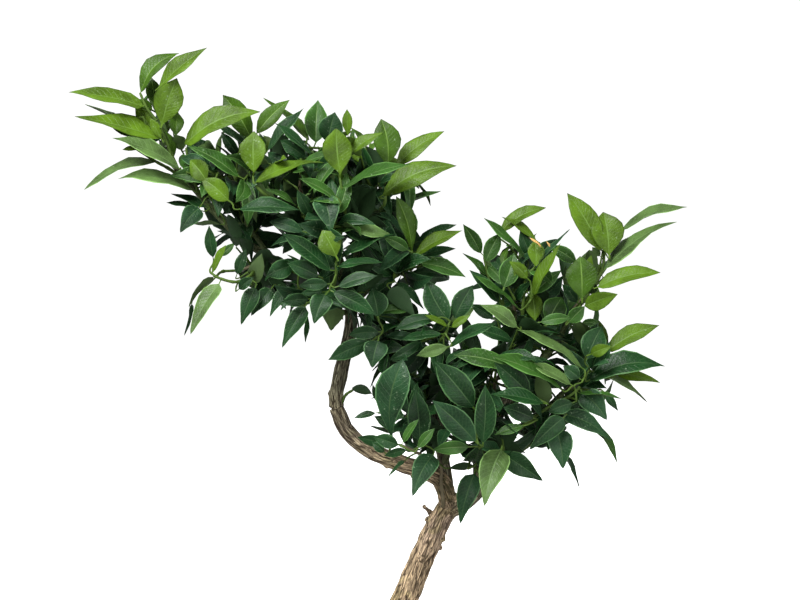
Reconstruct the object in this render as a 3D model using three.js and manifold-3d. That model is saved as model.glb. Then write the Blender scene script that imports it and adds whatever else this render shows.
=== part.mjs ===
// A myrtle-leaf orange grown as a bonsai in a plain oval pot, in millimetres, +Z up, +X to the
// viewer's right and +Y away from the viewer. The origin is the middle of the pot's underside.
// The trunk leans to the right and forks low: one bough sweeps left and rises in an S to the
// upper crown, and two more carry the lower crown on the right. Each mass of leaves is one
// solid: twigs that branch from one stem, with the leaves fused on.
import * as THREE from "three";
import { mergeVertices } from "three/addons/utils/BufferGeometryUtils.js";
import Module from "manifold-3d";

const wasm = await Module();
wasm.setup();

// Driving dimensions.
const CLEARANCE = 0.3; // between solids that meet
const POT = {
  length: 216, // outside, at the rim
  width: 160,
  height: 62,
  rimHeight: 9,
  rimDepth: 4, // how far the rim stands out past the wall
  wall: 6,
  floor: 7,
  footLength: 172, // outside, at the underside
  footHeight: 5,
  footInset: 4,
  bellyOut: 0.62, // how far the belly stands out from the base to the neck
  bellyUp: 0.45, // how high it is between the foot and the rim
  edgeRound: 1,
  sides: 28,
  drainRadius: 6,
  drainOffset: 46, // from the middle, along the length
};
const SOIL = {
  level: 56, // of the ground that the trunk stands on, flat there and lower at the wall
  edgeDrop: 5,
  flatShare: 0.35, // shares of the neck's radius
  slopeShare: 0.7,
  slopeDrop: 0.4, // share of the drop
  slack: 0.1,
};

const SKIN = {
  trunk: { sides: 12, step: 16 },
  bough: { sides: 9, step: 16 },
  branch: { sides: 5, step: 24 },
};

// The trunk and the boughs that the eye follows. Each path runs from root to tip.
const LIMBS = [
  {
    name: "trunk",
    path: [
      [-4, 0, 56], [-1, -2, 74], [6, -3, 96], [14, -3, 117], [25, -1, 143], [36, 0, 166], [45, 1, 180],
    ],
    radii: [10.4, 7.2],
    flare: { height: 24, spread: 0.62, roots: 5, depth: 0.3 },
    stubs: [
      { at: 0.78, turn: 175, length: 4.5, radius: 2.2 },
      { at: 0.62, turn: 10, length: 3.0, radius: 2.6 },
      { at: 0.4, turn: 190, length: 2.2, radius: 2.4 },
    ],
  },
  {
    name: "bough_left_sweep",
    path: [
      [42, 1, 174], [38, -2, 190], [29, -5, 198], [11, -8, 204.5], [-9, -8, 213], [-24, -6, 225],
      [-31.5, -4, 241],
    ],
    radii: [6.2, 5.1],
    stubs: [{ at: 0.52, turn: 250, length: 2.6, radius: 2.2 }],
  },
  {
    name: "bough_left_rise",
    path: [
      [-31.5, -4, 241], [-31.3, -3, 252], [-27, -1, 271], [-23, 0, 288], [-22, 2, 304], [-23, 3, 318],
    ],
    radii: [5.1, 3.9],
  },
  {
    name: "bough_centre",
    path: [[41, 2, 178], [40, 6, 192], [38, 7, 206], [35, 4, 224], [34, 1, 246]],
    radii: [5.0, 3.3],
  },
  {
    name: "bough_right",
    path: [
      [42, 1, 172], [54, -1, 179], [62, -2, 189], [62, -1, 204], [68, 2, 222], [79, 4, 244], [87, 5, 268],
    ],
    radii: [5.4, 2.9],
  },
];

// A branch leaves its limb at a share of the limb's length, sags by its bow on the way and ends
// at its tip, inside one mass.
const branch = (name, on, at, tip, bow, radii) => ({ name: `branch_${name}`, on, at, tip, bow, radii });
const BRANCHES = [
  branch("far_left", "bough_left_rise", 0.97, [-136, -8, 398], 13, [3.2, 1.9]),
  branch("left_hanging", "branch_far_left", 0.36, [-84, -22, 334], 3, [1.9, 1.5]),
  branch("left_shelf", "branch_far_left", 0.52, [-96, -2, 384], -3, [2.0, 1.6]),
  branch("crest", "bough_left_rise", 0.98, [-54, -8, 380], 4, [3.0, 2.0]),
  branch("crest_right", "bough_left_rise", 0.94, [-4, -10, 378], -4, [2.9, 1.9]),
  branch("heart", "bough_left_rise", 0.9, [-32, -26, 348], -3, [2.4, 1.7]),
  branch("shoulder", "bough_left_rise", 0.86, [12, -8, 330], -3, [2.7, 1.8]),
  branch("skirt", "bough_left_rise", 0.8, [-38, -26, 312], 3, [2.3, 1.7]),
  branch("back_left", "branch_far_left", 0.26, [-88, 30, 354], 5, [2.3, 1.8]),
  branch("back_middle", "bough_left_rise", 0.99, [-34, 30, 356], 4, [2.8, 1.9]),
  branch("back_right", "bough_left_rise", 0.88, [8, 30, 326], -5, [2.7, 1.8]),
  branch("inner", "bough_centre", 0.97, [22, -4, 272], -3, [2.7, 1.9]),
  branch("inner_low", "bough_centre", 0.55, [18, -10, 234], 3, [2.4, 1.7]),
  branch("apron", "bough_centre", 0.35, [46, -20, 220], -3, [2.6, 1.9]),
  branch("front", "bough_right", 0.58, [70, -20, 256], 3, [2.4, 1.8]),
  branch("middle", "bough_right", 0.98, [84, 0, 304], 2, [2.6, 1.9]),
  branch("right_tip", "bough_right", 0.9, [122, -4, 304], 6, [2.4, 1.8]),
  branch("right_side", "bough_right", 0.54, [116, -10, 252], 6, [2.9, 1.9]),
  branch("right_low", "bough_right", 0.4, [96, -4, 218], 4, [2.4, 1.7]),
  branch("lower_back", "bough_centre", 0.65, [42, 30, 242], 4, [2.7, 1.8]),
  branch("right_back", "bough_right", 0.68, [100, 32, 262], 4, [2.6, 1.8]),
];

// A mass fills an ellipsoid of these radii round its centre, as far as half way to its
// neighbours. Its leaders are the tips of the shoots that give the crown its outline.
const MASSES = [
  {
    name: "leaves_far_left", on: "branch_far_left", leaf: 50, young: 1, seed: 734,
    centre: [-156, -8, 418], radii: [51, 54, 57], shoots: 5, lift: 0.5, droop: 30,
    leaders: [[-158, -10, 441], [-144, 8, 414], [-132, -16, 404]],
  },
  {
    name: "leaves_left_shelf", on: "branch_left_shelf", young: 0.6, seed: 713,
    centre: [-104, -8, 396], radii: [50, 56, 45], shoots: 5, lift: 0.4, droop: 34,
    leaders: [[-108, -26, 392], [-94, 2, 412]],
  },
  {
    name: "leaves_left_hanging", on: "branch_left_hanging", young: 0.1, seed: 379,
    centre: [-96, -24, 330], radii: [41, 48, 45], shoots: 5, lift: -0.7, droop: 42,
    leaders: [[-108, -28, 330], [-84, -34, 322]],
  },
  {
    name: "leaves_crest", on: "branch_crest", young: 0.7, seed: 445,
    centre: [-56, -12, 404], radii: [50, 56, 40], shoots: 5, lift: 0.4, droop: 30,
    leaders: [[-64, -28, 398], [-50, -2, 416]],
  },
  {
    name: "leaves_crest_right", on: "branch_crest_right", young: 0.7, seed: 4,
    centre: [2, -14, 398], radii: [47, 56, 42], shoots: 6, lift: 0.4, droop: 30,
    leaders: [[-24, -28, 392], [6, -14, 402], [22, -8, 390]],
  },
  {
    name: "leaves_heart", on: "branch_heart", young: 0.3, seed: 54,
    centre: [-34, -42, 362], radii: [50, 46, 46], shoots: 5, lift: 0.1, droop: 36,
    leaders: [[-32, -48, 358]],
  },
  {
    name: "leaves_shoulder", on: "branch_shoulder", young: 0.35, seed: 553,
    centre: [14, -12, 342], radii: [40, 52, 46], shoots: 5, lift: 0.2, droop: 34,
    leaders: [[17, -24, 346], [32, -6, 336]],
  },
  {
    name: "leaves_skirt", on: "branch_skirt", young: 0.15, seed: 756,
    centre: [-42, -34, 320], radii: [50, 46, 42], shoots: 6, lift: -0.1, droop: 38,
    leaders: [[-42, -40, 314], [-14, -32, 318]],
  },
  {
    name: "leaves_back_left", on: "branch_back_left", young: 0.4, seed: 17,
    centre: [-96, 46, 368], radii: [44, 54, 54], shoots: 5, lift: 0.2, droop: 34,
    leaders: [],
  },
  {
    name: "leaves_back_middle", on: "branch_back_middle", young: 0.4, seed: 520,
    centre: [-34, 50, 382], radii: [56, 54, 58], shoots: 6, lift: 0.2, droop: 34,
    leaders: [],
  },
  {
    name: "leaves_back_right", on: "branch_back_right", young: 0.4, seed: 675,
    centre: [10, 46, 338], radii: [46, 54, 54], shoots: 5, lift: 0.2, droop: 34,
    leaders: [],
  },
  {
    name: "leaves_inner", on: "branch_inner", young: 0, seed: 11,
    centre: [18, -14, 286], radii: [47, 54, 46], shoots: 6, lift: 0, droop: 34,
    leaders: [[-2, -24, 280], [40, -18, 296]],
  },
  {
    name: "leaves_inner_low", on: "branch_inner_low", young: 0, seed: 751,
    centre: [20, -24, 238], radii: [44, 48, 46], shoots: 5, lift: -0.1, droop: 30,
    leaders: [[2, -28, 242], [12, -34, 222]],
  },
  {
    name: "leaves_apron", on: "branch_apron", young: 0, seed: 36,
    centre: [56, -34, 220], radii: [54, 48, 54], shoots: 6, lift: -0.2, droop: 26,
    leaders: [[32, -36, 214], [60, -36, 202], [74, -40, 216]],
  },
  {
    name: "leaves_front", on: "branch_front", young: 0, seed: 772,
    centre: [76, -34, 274], radii: [54, 48, 50], shoots: 6, lift: 0, droop: 34,
    leaders: [[62, -42, 280]],
  },
  {
    name: "leaves_middle", on: "branch_middle", young: 0.5, seed: 678,
    centre: [84, -4, 326], radii: [38, 52, 46], shoots: 6, lift: 0.6, droop: 26,
    leaders: [[68, -10, 334], [92, -14, 334], [94, 6, 352]],
  },
  {
    name: "leaves_right_tip", on: "branch_right_tip", leaf: 52, young: 1, seed: 627,
    centre: [146, -6, 332], radii: [52, 54, 50], shoots: 4, lift: 0.4, droop: 28,
    leaders: [[141, -8, 346], [132, -16, 322]],
  },
  {
    name: "leaves_right_side", on: "branch_right_side", young: 0.45, seed: 375,
    centre: [138, -10, 266], radii: [47, 54, 44], shoots: 5, lift: 0.2, droop: 34,
    leaders: [[136, -20, 264], [142, -4, 272]],
  },
  {
    name: "leaves_right_low", on: "branch_right_low", young: 0, seed: 10,
    centre: [108, -12, 226], radii: [44, 52, 42], shoots: 5, lift: -0.3, droop: 38,
    leaders: [[116, -22, 226], [110, 0, 214]],
  },
  {
    name: "leaves_lower_back", on: "branch_lower_back", young: 0.2, seed: 81,
    centre: [42, 44, 254], radii: [56, 54, 58], shoots: 6, lift: 0.1, droop: 34,
    leaders: [],
  },
  {
    name: "leaves_right_back", on: "branch_right_back", young: 0.3, seed: 679,
    centre: [110, 46, 280], radii: [58, 54, 58], shoots: 6, lift: 0.2, droop: 34,
    leaders: [],
  },
];

const LEAF = {
  length: 46, // of a full-grown one, from twig to tip, where its mass states none
  sizes: [0.82, 1.08], // shares of that length
  slimness: 0.47, // width over length, with the corners that stand for a rounder outline
  slimnessVaries: 0.12,
  thickness: 0.9,
  fold: 22, // degrees that each half stands up from the midrib
  widest: 0.45, // share of the length where it is widest
  sunk: 0.4, // its root's depth past the twig's middle
  leans: [30, 68], // degrees from the twig, at its tip and further back
  leanVaries: 8,
  droops: [0.6, 1.4], // shares of its mass's droop
  faces: { twig: 0.4, up: 0.5, outward: 0.5 }, // how far its upper side turns each way
};
const SHOOT = {
  leaves: 6,
  firstLeaf: 0.8, // from its tip
  spacing: 3.8, // between leaves, along it
  turn: 137.5, // degrees from one leaf to the next
  bareFoot: 2, // length next to its root that has no leaf
};
const TWIG = {
  sides: 3,
  stemRadius: 2.0,
  shootRadius: 1.4,
  rootShare: 0.5, // of its radius, where it starts inside its parent
  bud: 2.5, // length of the point past its last section
  sunk: 1.5, // the stem's depth in its branch, before it is cut clear
  reachInside: 26, // how far tips stay inside the mass's ellipsoid, for the leaves past them
  leastReach: 6,
  heights: [-0.85, 0.97], // of the tips, as shares of the ellipsoid's
  places: 160, // tried for tips, the second half of them nearer the middle
  innerShare: 0.6,
  spacing: 16, // between tips
  shortest: 9,
  turningCost: 1.9, // a tip joins the twig that reaches it with little length and little turning
  rise: 0.2, // how far its tip turns up, and how much more for a mass with lift
  riseWithLift: 0.35,
  leafLift: 0.3,
};
const ODD_WAY = [0.31, 0.17, 0.9]; // a direction that no twig runs in
const MARGIN = 0.5; // from a leaf to the edge of its mass's space
const LIMB_MARGIN = 1.5; // from a leaf to any limb
const WOOD_STEP = 3; // between the places on a limb that are tested
const TURNS = [0, 35, -35, 70, -70, 110, -110]; // degrees a leaf may turn round its twig to find room
const SHRINKS = [1, 0.82]; // of its length, tried where no turn finds room

const COLOURS = {
  clay: { color: 0x6b4a3a, roughness: 0.75 },
  soil: { color: 0x4a3b2d, roughness: 0.95 },
  bark: { color: 0x8d7557, roughness: 0.9 },
  young: { color: 0x7fa63c, roughness: 0.45 },
  mixed: { color: 0x4f8038, roughness: 0.45 },
  old: { color: 0x27523a, roughness: 0.45 },
};

const UP = new THREE.Vector3(0, 0, 1);
const vector = (p) => new THREE.Vector3(...p);
const radians = THREE.MathUtils.degToRad;
const mix = THREE.MathUtils.lerp;

// A small generator of even random numbers from 0 to 1, the same ones for the same seed.
function seeded(seed) {
  let state = seed >>> 0;
  return () => {
    state = (state + 0x6d2b79f5) >>> 0;
    let t = Math.imul(state ^ (state >>> 15), state | 1);
    t = (t + Math.imul(t ^ (t >>> 7), t | 61)) ^ t;
    return ((t ^ (t >>> 14)) >>> 0) / 4294967296;
  };
}

// Closed meshes to solids and back.
function solidOf(geometry) {
  const bare = geometry.clone();
  for (const name of Object.keys(bare.attributes)) if (name !== "position") bare.deleteAttribute(name);
  const merged = mergeVertices(bare, 1e-4);
  return new wasm.Manifold(
    new wasm.Mesh({
      numProp: 3,
      vertProperties: new Float32Array(merged.attributes.position.array),
      triVerts: new Uint32Array(merged.index.array),
    }),
  );
}

function geometryOf(solid) {
  const mesh = solid.getMesh();
  const geometry = new THREE.BufferGeometry();
  geometry.setAttribute("position", new THREE.BufferAttribute(mesh.vertProperties, 3));
  geometry.setIndex(new THREE.BufferAttribute(mesh.triVerts, 1));
  geometry.computeVertexNormals();
  return geometry;
}

const largestPiece = (solid) => solid.decompose().sort((a, b) => b.volume() - a.volume())[0];
const together = (solids) => wasm.Manifold.union(solids);

// A closed skin over rings of points, each ring turning anticlockwise as seen from the tip.
// An end is flat, or drawn to a point where one is given.
function loft(rings, rootPoint, tipPoint) {
  const sides = rings[0].length;
  const points = rings.flat();
  const faces = [];
  for (let i = 0; i + 1 < rings.length; i++)
    for (let j = 0; j < sides; j++) {
      const a = i * sides + j;
      const b = i * sides + ((j + 1) % sides);
      faces.push(a, b, b + sides, a, b + sides, a + sides);
    }
  const last = (rings.length - 1) * sides;
  if (!rootPoint) for (let j = 1; j + 1 < sides; j++) faces.push(0, j + 1, j);
  if (!tipPoint) for (let j = 1; j + 1 < sides; j++) faces.push(last, last + j, last + j + 1);
  if (rootPoint) {
    for (let j = 0; j < sides; j++) faces.push(points.length, (j + 1) % sides, j);
    points.push(rootPoint);
  }
  if (tipPoint) {
    for (let j = 0; j < sides; j++) faces.push(points.length, last + j, last + ((j + 1) % sides));
    points.push(tipPoint);
  }
  const geometry = new THREE.BufferGeometry();
  geometry.setAttribute("position", new THREE.Float32BufferAttribute(points.flatMap((p) => p.toArray()), 3));
  geometry.setIndex(faces);
  return geometry;
}

// Rings of points round a curve at these shares of its length, of the radius radiusAt(share, angle).
function tube(curve, shares, sides, radiusAt) {
  const steps = 60;
  const frames = curve.computeFrenetFrames(steps);
  return shares.map((share) => {
    const centre = curve.getPointAt(share);
    const step = Math.round(share * steps);
    return Array.from({ length: sides }, (_, j) => {
      const angle = (j / sides) * 2 * Math.PI;
      const radius = radiusAt(share, angle);
      return centre
        .clone()
        .addScaledVector(frames.normals[step], radius * Math.cos(angle))
        .addScaledVector(frames.binormals[step], radius * Math.sin(angle));
    });
  });
}

const evenShares = (steps) => Array.from({ length: steps + 1 }, (_, i) => i / steps);

// The place and direction at a distance from the tip of a straight-edged path.
function alongPath(points, fromTip) {
  let left = fromTip;
  for (let i = points.length - 1; i > 0; i--) {
    const length = points[i].distanceTo(points[i - 1]);
    const axis = points[i].clone().sub(points[i - 1]).normalize();
    if (left <= length) return { place: points[i].clone().addScaledVector(axis, -left), axis };
    left -= length;
  }
  return null;
}

const smooth = (points) => new THREE.CatmullRomCurve3(points, false, "catmullrom", 0.5);

// Limbs. A limb's skin can be grown outwards, to cut what meets it 0.3 mm clear.
function limbRadius(limb, share, angle = 0) {
  const radius = mix(limb.radii[0], limb.radii[1], share);
  if (!limb.flare) return radius;
  const { height, spread, roots, depth } = limb.flare;
  const near = Math.max(0, 1 - (share * limb.curve.getLength()) / height) ** 2;
  return radius * (1 + near * (spread + depth * Math.cos(roots * angle)));
}

function limbSolid(limb, grown = 0) {
  const { sides, step } = limb.on ? SKIN.branch : limb.flare ? SKIN.trunk : SKIN.bough;
  const steps = Math.max(2, Math.round(limb.curve.getLength() / step));
  const radiusAt = (share, angle) => limbRadius(limb, share, angle) + grown;
  const rings = tube(limb.curve, evenShares(steps), sides, radiusAt);
  for (const p of rings[0]) p.addScaledVector(limb.curve.getTangentAt(0), -grown);
  for (const p of rings[steps]) p.addScaledVector(limb.curve.getTangentAt(1), grown);
  if (limb.flare) for (const p of rings[0]) p.z = limb.path[0][2] - grown; // the flat cut at the ground
  const parts = [solidOf(loft(rings))];
  for (const stub of limb.stubs ?? []) parts.push(stubSolid(limb, stub, grown));
  return together(parts);
}

// What is left of a shoot that was pruned off: a short peg, standing out of the bark.
function stubSolid(limb, stub, grown) {
  const root = limb.curve.getPointAt(stub.at);
  const along = limb.curve.getTangentAt(stub.at);
  const out = new THREE.Vector3(Math.cos(radians(stub.turn)), 0, Math.sin(radians(stub.turn)));
  out.addScaledVector(along, -out.dot(along)).normalize().addScaledVector(along, 0.5).normalize();
  const reach = limbRadius(limb, stub.at) + stub.length + grown;
  const line = new THREE.LineCurve3(root, root.clone().addScaledVector(out, reach));
  return solidOf(loft(tube(line, [0, 1], 6, (share) => mix(1.5, 0.75, share) * stub.radius + grown)));
}

function growLimbs() {
  const limbs = new Map();
  for (const limb of LIMBS) limbs.set(limb.name, { ...limb, curve: smooth(limb.path.map(vector)) });
  for (const branch of BRANCHES) {
    const carrier = limbs.get(branch.on);
    const root = carrier.curve.getPointAt(branch.at);
    const tip = vector(branch.tip);
    const middle = root.clone().lerp(tip, 0.5);
    const chord = tip.clone().sub(root);
    const lift = UP.clone().addScaledVector(chord, -UP.dot(chord) / chord.lengthSq()).normalize();
    middle.addScaledVector(lift, -branch.bow);
    limbs.set(branch.name, { ...branch, curve: smooth([root, middle, tip]) });
  }
  return limbs;
}

// Each limb is cut clear of the ones before it, so a fork has one seam at its foot.
function limbSolids(limbs) {
  const solids = new Map();
  const grown = [];
  for (const limb of limbs.values()) {
    const whole = limbSolid(limb);
    solids.set(limb.name, grown.length ? largestPiece(whole.subtract(together(grown))) : whole);
    grown.push(limbSolid(limb, CLEARANCE));
  }
  return { solids, grown: together(grown) };
}

// Foliage. A mass keeps to its ellipsoid and to its side of the plane half way to each neighbour.
const weight = (mass) => (mass.radii[0] + mass.radii[1] + mass.radii[2]) / 3;

function roomIn(mass, point, margin) {
  const offset = vector(mass.centre).sub(point);
  const [a, b, c] = mass.radii;
  if ((offset.x / a) ** 2 + (offset.y / b) ** 2 + (offset.z / c) ** 2 > 1) return false;
  const own = offset.lengthSq() - weight(mass) ** 2;
  return MASSES.every((other) => {
    if (other === mass) return true;
    const centre = vector(other.centre);
    const theirs = centre.distanceToSquared(point) - weight(other) ** 2;
    return (theirs - own) / (2 * centre.distanceTo(vector(mass.centre))) > margin;
  });
}

function clearOfLimbs(wood, point, margin) {
  return wood.every(({ centre, radius }) => centre.distanceTo(point) > radius + margin);
}

// Three points of a curve that leaves one of them and reaches the other in these directions.
function bend(start, startDirection, end, endDirection) {
  const length = start.distanceTo(end);
  const curve = new THREE.CubicBezierCurve3(
    start,
    start.clone().addScaledVector(startDirection, length / 3),
    end.clone().addScaledVector(endDirection, -length / 3),
    end,
  );
  return [start, curve.getPoint(0.5), end];
}

// Where the tips of a mass's shoots may stand: its leaders, then places turned by the golden
// angle round its centre.
function* shootTips(mass, random) {
  yield* mass.leaders.map(vector);
  const phase = random() * 360;
  for (let k = 0; k < TWIG.places; k++) {
    const angle = radians(phase + k * SHOOT.turn);
    const height = mix(...TWIG.heights, random());
    const flat = Math.sqrt(1 - height * height);
    const share = [Math.cos(angle) * flat, Math.sin(angle) * flat, height];
    const fill = k < TWIG.places / 2 ? 1 : TWIG.innerShare;
    const reach = mass.radii.map((radius) => fill * Math.max(TWIG.leastReach, radius - TWIG.reachInside));
    yield vector(mass.centre.map((c, i) => c + share[i] * reach[i]));
  }
}

// Twigs: a stem to the mass's heart, and a twig to each tip from the best place on what has grown.
function growTwigs(mass, limbs, wood, random) {
  const carrier = limbs.get(mass.on);
  const root = carrier.curve.getPointAt(1);
  const direction = carrier.curve.getTangentAt(1);
  const heart = root.clone().lerp(vector(mass.centre), 0.5);
  const toHeart = vector(mass.centre).sub(root).normalize();
  const inside = root.clone().addScaledVector(direction, -TWIG.sunk);
  const stem = { points: bend(inside, direction, heart, toHeart), thick: TWIG.stemRadius, leafy: false };
  const twigs = [stem];
  const tips = [];
  for (const tip of shootTips(mass, random)) {
    if (tips.length >= mass.shoots) break;
    if (tips.some((other) => other.distanceTo(tip) < TWIG.spacing)) continue;
    let best = null;
    for (const twig of twigs)
      for (let i = 1; i < twig.points.length; i++) {
        const from = twig.points[i];
        const along = from.clone().sub(twig.points[i - 1]).normalize();
        const way = tip.clone().sub(from);
        const cost = way.length() * (TWIG.turningCost - way.clone().normalize().dot(along));
        if (way.length() < TWIG.shortest || (best && cost > best.cost)) continue;
        best = { cost, from, along, way: way.normalize() };
      }
    if (!best) continue;
    const start = best.along.clone().lerp(best.way, 0.5).normalize();
    const end = best.way.clone().addScaledVector(UP, TWIG.riseWithLift * mass.lift + TWIG.rise).normalize();
    const points = bend(best.from, start, tip, end);
    const near = TWIG.shootRadius + MARGIN;
    if (!points.slice(1).every((p) => roomIn(mass, p, near) && clearOfLimbs(wood, p, near))) continue;
    twigs.push({ points, thick: TWIG.shootRadius, leafy: true });
    tips.push(tip);
  }
  return twigs;
}

// One leaf: a root point, the folded section where it is widest and a tip, bent down.
function leafPoints(base, along, upper, length, width, bendDegrees) {
  const side = upper.clone().cross(along).normalize();
  const bendBy = radians(bendDegrees);
  const at = (share) => {
    const turn = bendBy * share;
    const forward = bendBy ? Math.sin(turn) / bendBy : share;
    const down = bendBy ? (1 - Math.cos(turn)) / bendBy : 0;
    return base.clone().addScaledVector(along, length * forward).addScaledVector(upper, -length * down);
  };
  const centre = at(LEAF.widest);
  const out = (width / 2) * Math.cos(radians(LEAF.fold));
  const raised = (width / 2) * Math.sin(radians(LEAF.fold));
  const edge = (sign) => centre.clone().addScaledVector(side, sign * out).addScaledVector(upper, raised);
  const middle = (sign) => centre.clone().addScaledVector(upper, (sign * LEAF.thickness) / 2);
  const ring = [edge(1), middle(1), edge(-1), middle(-1)];
  return { ring, root: base.clone().addScaledVector(along, -LEAF.sunk), tip: at(1) };
}

// The four flat parts of a leaf, and whether the straight lines of one pass through the other.
function leafFaces({ root, ring, tip }) {
  const [left, top, right] = ring;
  return [[root, left, top], [left, tip, top], [root, top, right], [top, tip, right]];
}

function leafLines({ root, ring, tip }) {
  const [left, top, right] = ring;
  return [[root, left], [left, tip], [tip, right], [right, root], [root, top], [top, tip]];
}

function pierces([from, to], faces) {
  const ray = new THREE.Ray(from, to.clone().sub(from).normalize());
  const hit = new THREE.Vector3();
  const length = from.distanceTo(to);
  const meets = (face) => ray.intersectTriangle(...face, false, hit) && hit.distanceTo(from) < length;
  return faces.some(meets);
}

function crossing(leaf, others, lines) {
  const faces = leafFaces(leaf);
  if (lines.some((line) => pierces(line, faces))) return true;
  return others.some(
    (other) =>
      leafLines(leaf).some((line) => pierces(line, leafFaces(other))) ||
      leafLines(other).some((line) => pierces(line, faces)),
  );
}

// The leaves of a shoot stand round its end in a golden spiral, steeper towards the tip.
function growLeaves(mass, twig, twigs, grown, wood, random) {
  const others = twigs.filter((other) => other !== twig);
  const lines = others.flatMap(({ points }) => points.slice(1).map((p, i) => [points[i], p]));
  const vary = (by) => mix(-by, by, random());
  let turn = random() * 360;
  for (let k = 0; k < SHOOT.leaves; k++) {
    const back = SHOOT.firstLeaf + k * SHOOT.spacing;
    turn += SHOOT.turn;
    const size = (mass.leaf ?? LEAF.length) * mix(...LEAF.sizes, random());
    const lean = mix(...LEAF.leans, k / (SHOOT.leaves - 1)) + vary(LEAF.leanVaries);
    const slimness = LEAF.slimness * (1 + vary(LEAF.slimnessVaries));
    const droop = mass.droop * mix(...LEAF.droops, random());
    if (!alongPath(twig.points, back + SHOOT.bareFoot)) break;
    const { place: base, axis } = alongPath(twig.points, back);
    const level = vector(ODD_WAY).cross(axis).normalize();
    const outward = base.clone().sub(vector(mass.centre)).normalize();
    const turned = (extra, shrink) => {
      const along = level.clone().applyAxisAngle(axis, radians(turn + extra));
      along.multiplyScalar(Math.sin(radians(lean))).addScaledVector(axis, Math.cos(radians(lean)));
      along.addScaledVector(UP, TWIG.leafLift * mass.lift).normalize();
      const upper = axis.clone().multiplyScalar(LEAF.faces.twig).addScaledVector(UP, LEAF.faces.up);
      upper.addScaledVector(outward, LEAF.faces.outward);
      upper.addScaledVector(along, -upper.dot(along)).normalize();
      return leafPoints(base, along, upper, size * shrink, size * shrink * slimness, droop);
    };
    const fits = (leaf) => {
      const points = [...leaf.ring, leaf.tip];
      const spine = [0.2, 0.4, 0.6, 0.8].map((share) => leaf.root.clone().lerp(leaf.tip, share));
      return (
        points.every((p) => roomIn(mass, p, MARGIN)) &&
        [...points, ...spine].every((p) => clearOfLimbs(wood, p, LIMB_MARGIN)) &&
        !crossing(leaf, grown, lines)
      );
    };
    const choices = SHRINKS.flatMap((shrink) => TURNS.map((extra) => [extra, shrink]));
    for (const [extra, shrink] of choices) {
      const leaf = turned(extra, shrink);
      if (!fits(leaf)) continue;
      grown.push(leaf);
      break;
    }
  }
}

// The sections of a twig are all alike and turned the same way, so that its sides are flat.
function twigSolid({ points, thick }) {
  const axis = points[2].clone().sub(points[1]).normalize();
  const across = vector(ODD_WAY).cross(axis).normalize();
  const turns = Array.from({ length: TWIG.sides }, (_, j) => (j / TWIG.sides) * 2 * Math.PI);
  const section = turns.map((angle) => across.clone().applyAxisAngle(axis, angle));
  const radii = [thick * TWIG.rootShare, thick, thick];
  const rings = points.map((p, i) => section.map((way) => p.clone().addScaledVector(way, radii[i])));
  return solidOf(loft(rings, null, points[2].clone().addScaledVector(axis, TWIG.bud)));
}

const leafSolid = ({ ring, root, tip }) => solidOf(loft([ring], root, tip));

function massSolid(mass, limbs, wood, grownLimbs) {
  const random = seeded(mass.seed);
  const twigs = growTwigs(mass, limbs, wood, random);
  const leaves = [];
  for (const twig of twigs) if (twig.leafy) growLeaves(mass, twig, twigs, leaves, wood, random);
  return largestPiece(together([...twigs.map(twigSolid), ...leaves.map(leafSolid)]).subtract(grownLimbs));
}

// The pot is an oval, turned as a round one and narrowed across. Its wall swells at the belly
// and stands straight under the rim.
const potRadii = {
  rim: POT.length / 2,
  neck: POT.length / 2 - POT.rimDepth,
  foot: POT.footLength / 2,
};
potRadii.base = potRadii.foot + POT.footInset;
potRadii.belly = mix(potRadii.base, potRadii.neck, POT.bellyOut);
const potHeights = { underRim: POT.height - POT.rimHeight };
potHeights.belly = mix(POT.footHeight, potHeights.underRim, POT.bellyUp);

function turnedOval(profile) {
  const geometry = new THREE.LatheGeometry(profile.map(([r, z]) => new THREE.Vector2(r, z)), POT.sides);
  geometry.rotateX(Math.PI / 2);
  geometry.scale(1, POT.width / POT.length, 1);
  return solidOf(geometry);
}

function potSolid() {
  const { rim, neck, foot, base, belly } = potRadii;
  const { underRim } = potHeights;
  const round = POT.edgeRound;
  const body = turnedOval([
    [0, 0],
    [foot, 0],
    [foot, POT.footHeight],
    [base, POT.footHeight + round],
    [belly, potHeights.belly],
    [neck, underRim],
    [rim, underRim + round],
    [rim, POT.height - round],
    [rim - round, POT.height],
    [neck - POT.wall + round, POT.height],
    [neck - POT.wall, POT.height - round],
    [neck - POT.wall, underRim],
    [belly - POT.wall, potHeights.belly],
    [foot - POT.wall, POT.floor],
    [0, POT.floor],
  ]);
  const drains = [-1, 1].map((side) => {
    const hole = new THREE.CylinderGeometry(POT.drainRadius, POT.drainRadius, POT.floor * 3, 16);
    hole.rotateX(Math.PI / 2).translate(side * POT.drainOffset, 0, POT.floor / 2);
    return solidOf(hole);
  });
  return body.subtract(together(drains));
}

// The soil fills the pot, clear of its wall and floor, and is highest round the trunk.
function soilSolid() {
  const { neck, foot, belly } = potRadii;
  const inside = POT.wall + (CLEARANCE + SOIL.slack) * (POT.length / POT.width);
  const low = POT.floor + CLEARANCE;
  const top = SOIL.level - CLEARANCE;
  const edge = top - SOIL.edgeDrop;
  const edgeShare = (edge - potHeights.belly) / (potHeights.underRim - potHeights.belly);
  return turnedOval([
    [0, low],
    [foot - inside - SOIL.slack, low],
    [belly - inside, potHeights.belly],
    [mix(belly, neck, edgeShare) - inside, edge],
    [neck * SOIL.slopeShare, mix(top, edge, SOIL.slopeDrop)],
    [neck * SOIL.flatShare, top],
    [0, top],
  ]);
}

// The whole plant in its pot.
const bonsai = new THREE.Group();

function addNode(name, solid, finish) {
  const material = new THREE.MeshStandardMaterial({ ...COLOURS[finish], metalness: 0 });
  const mesh = new THREE.Mesh(geometryOf(solid), material);
  mesh.name = name;
  bonsai.add(mesh);
}

addNode("pot", potSolid(), "clay");
addNode("soil", soilSolid(), "soil");

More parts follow.
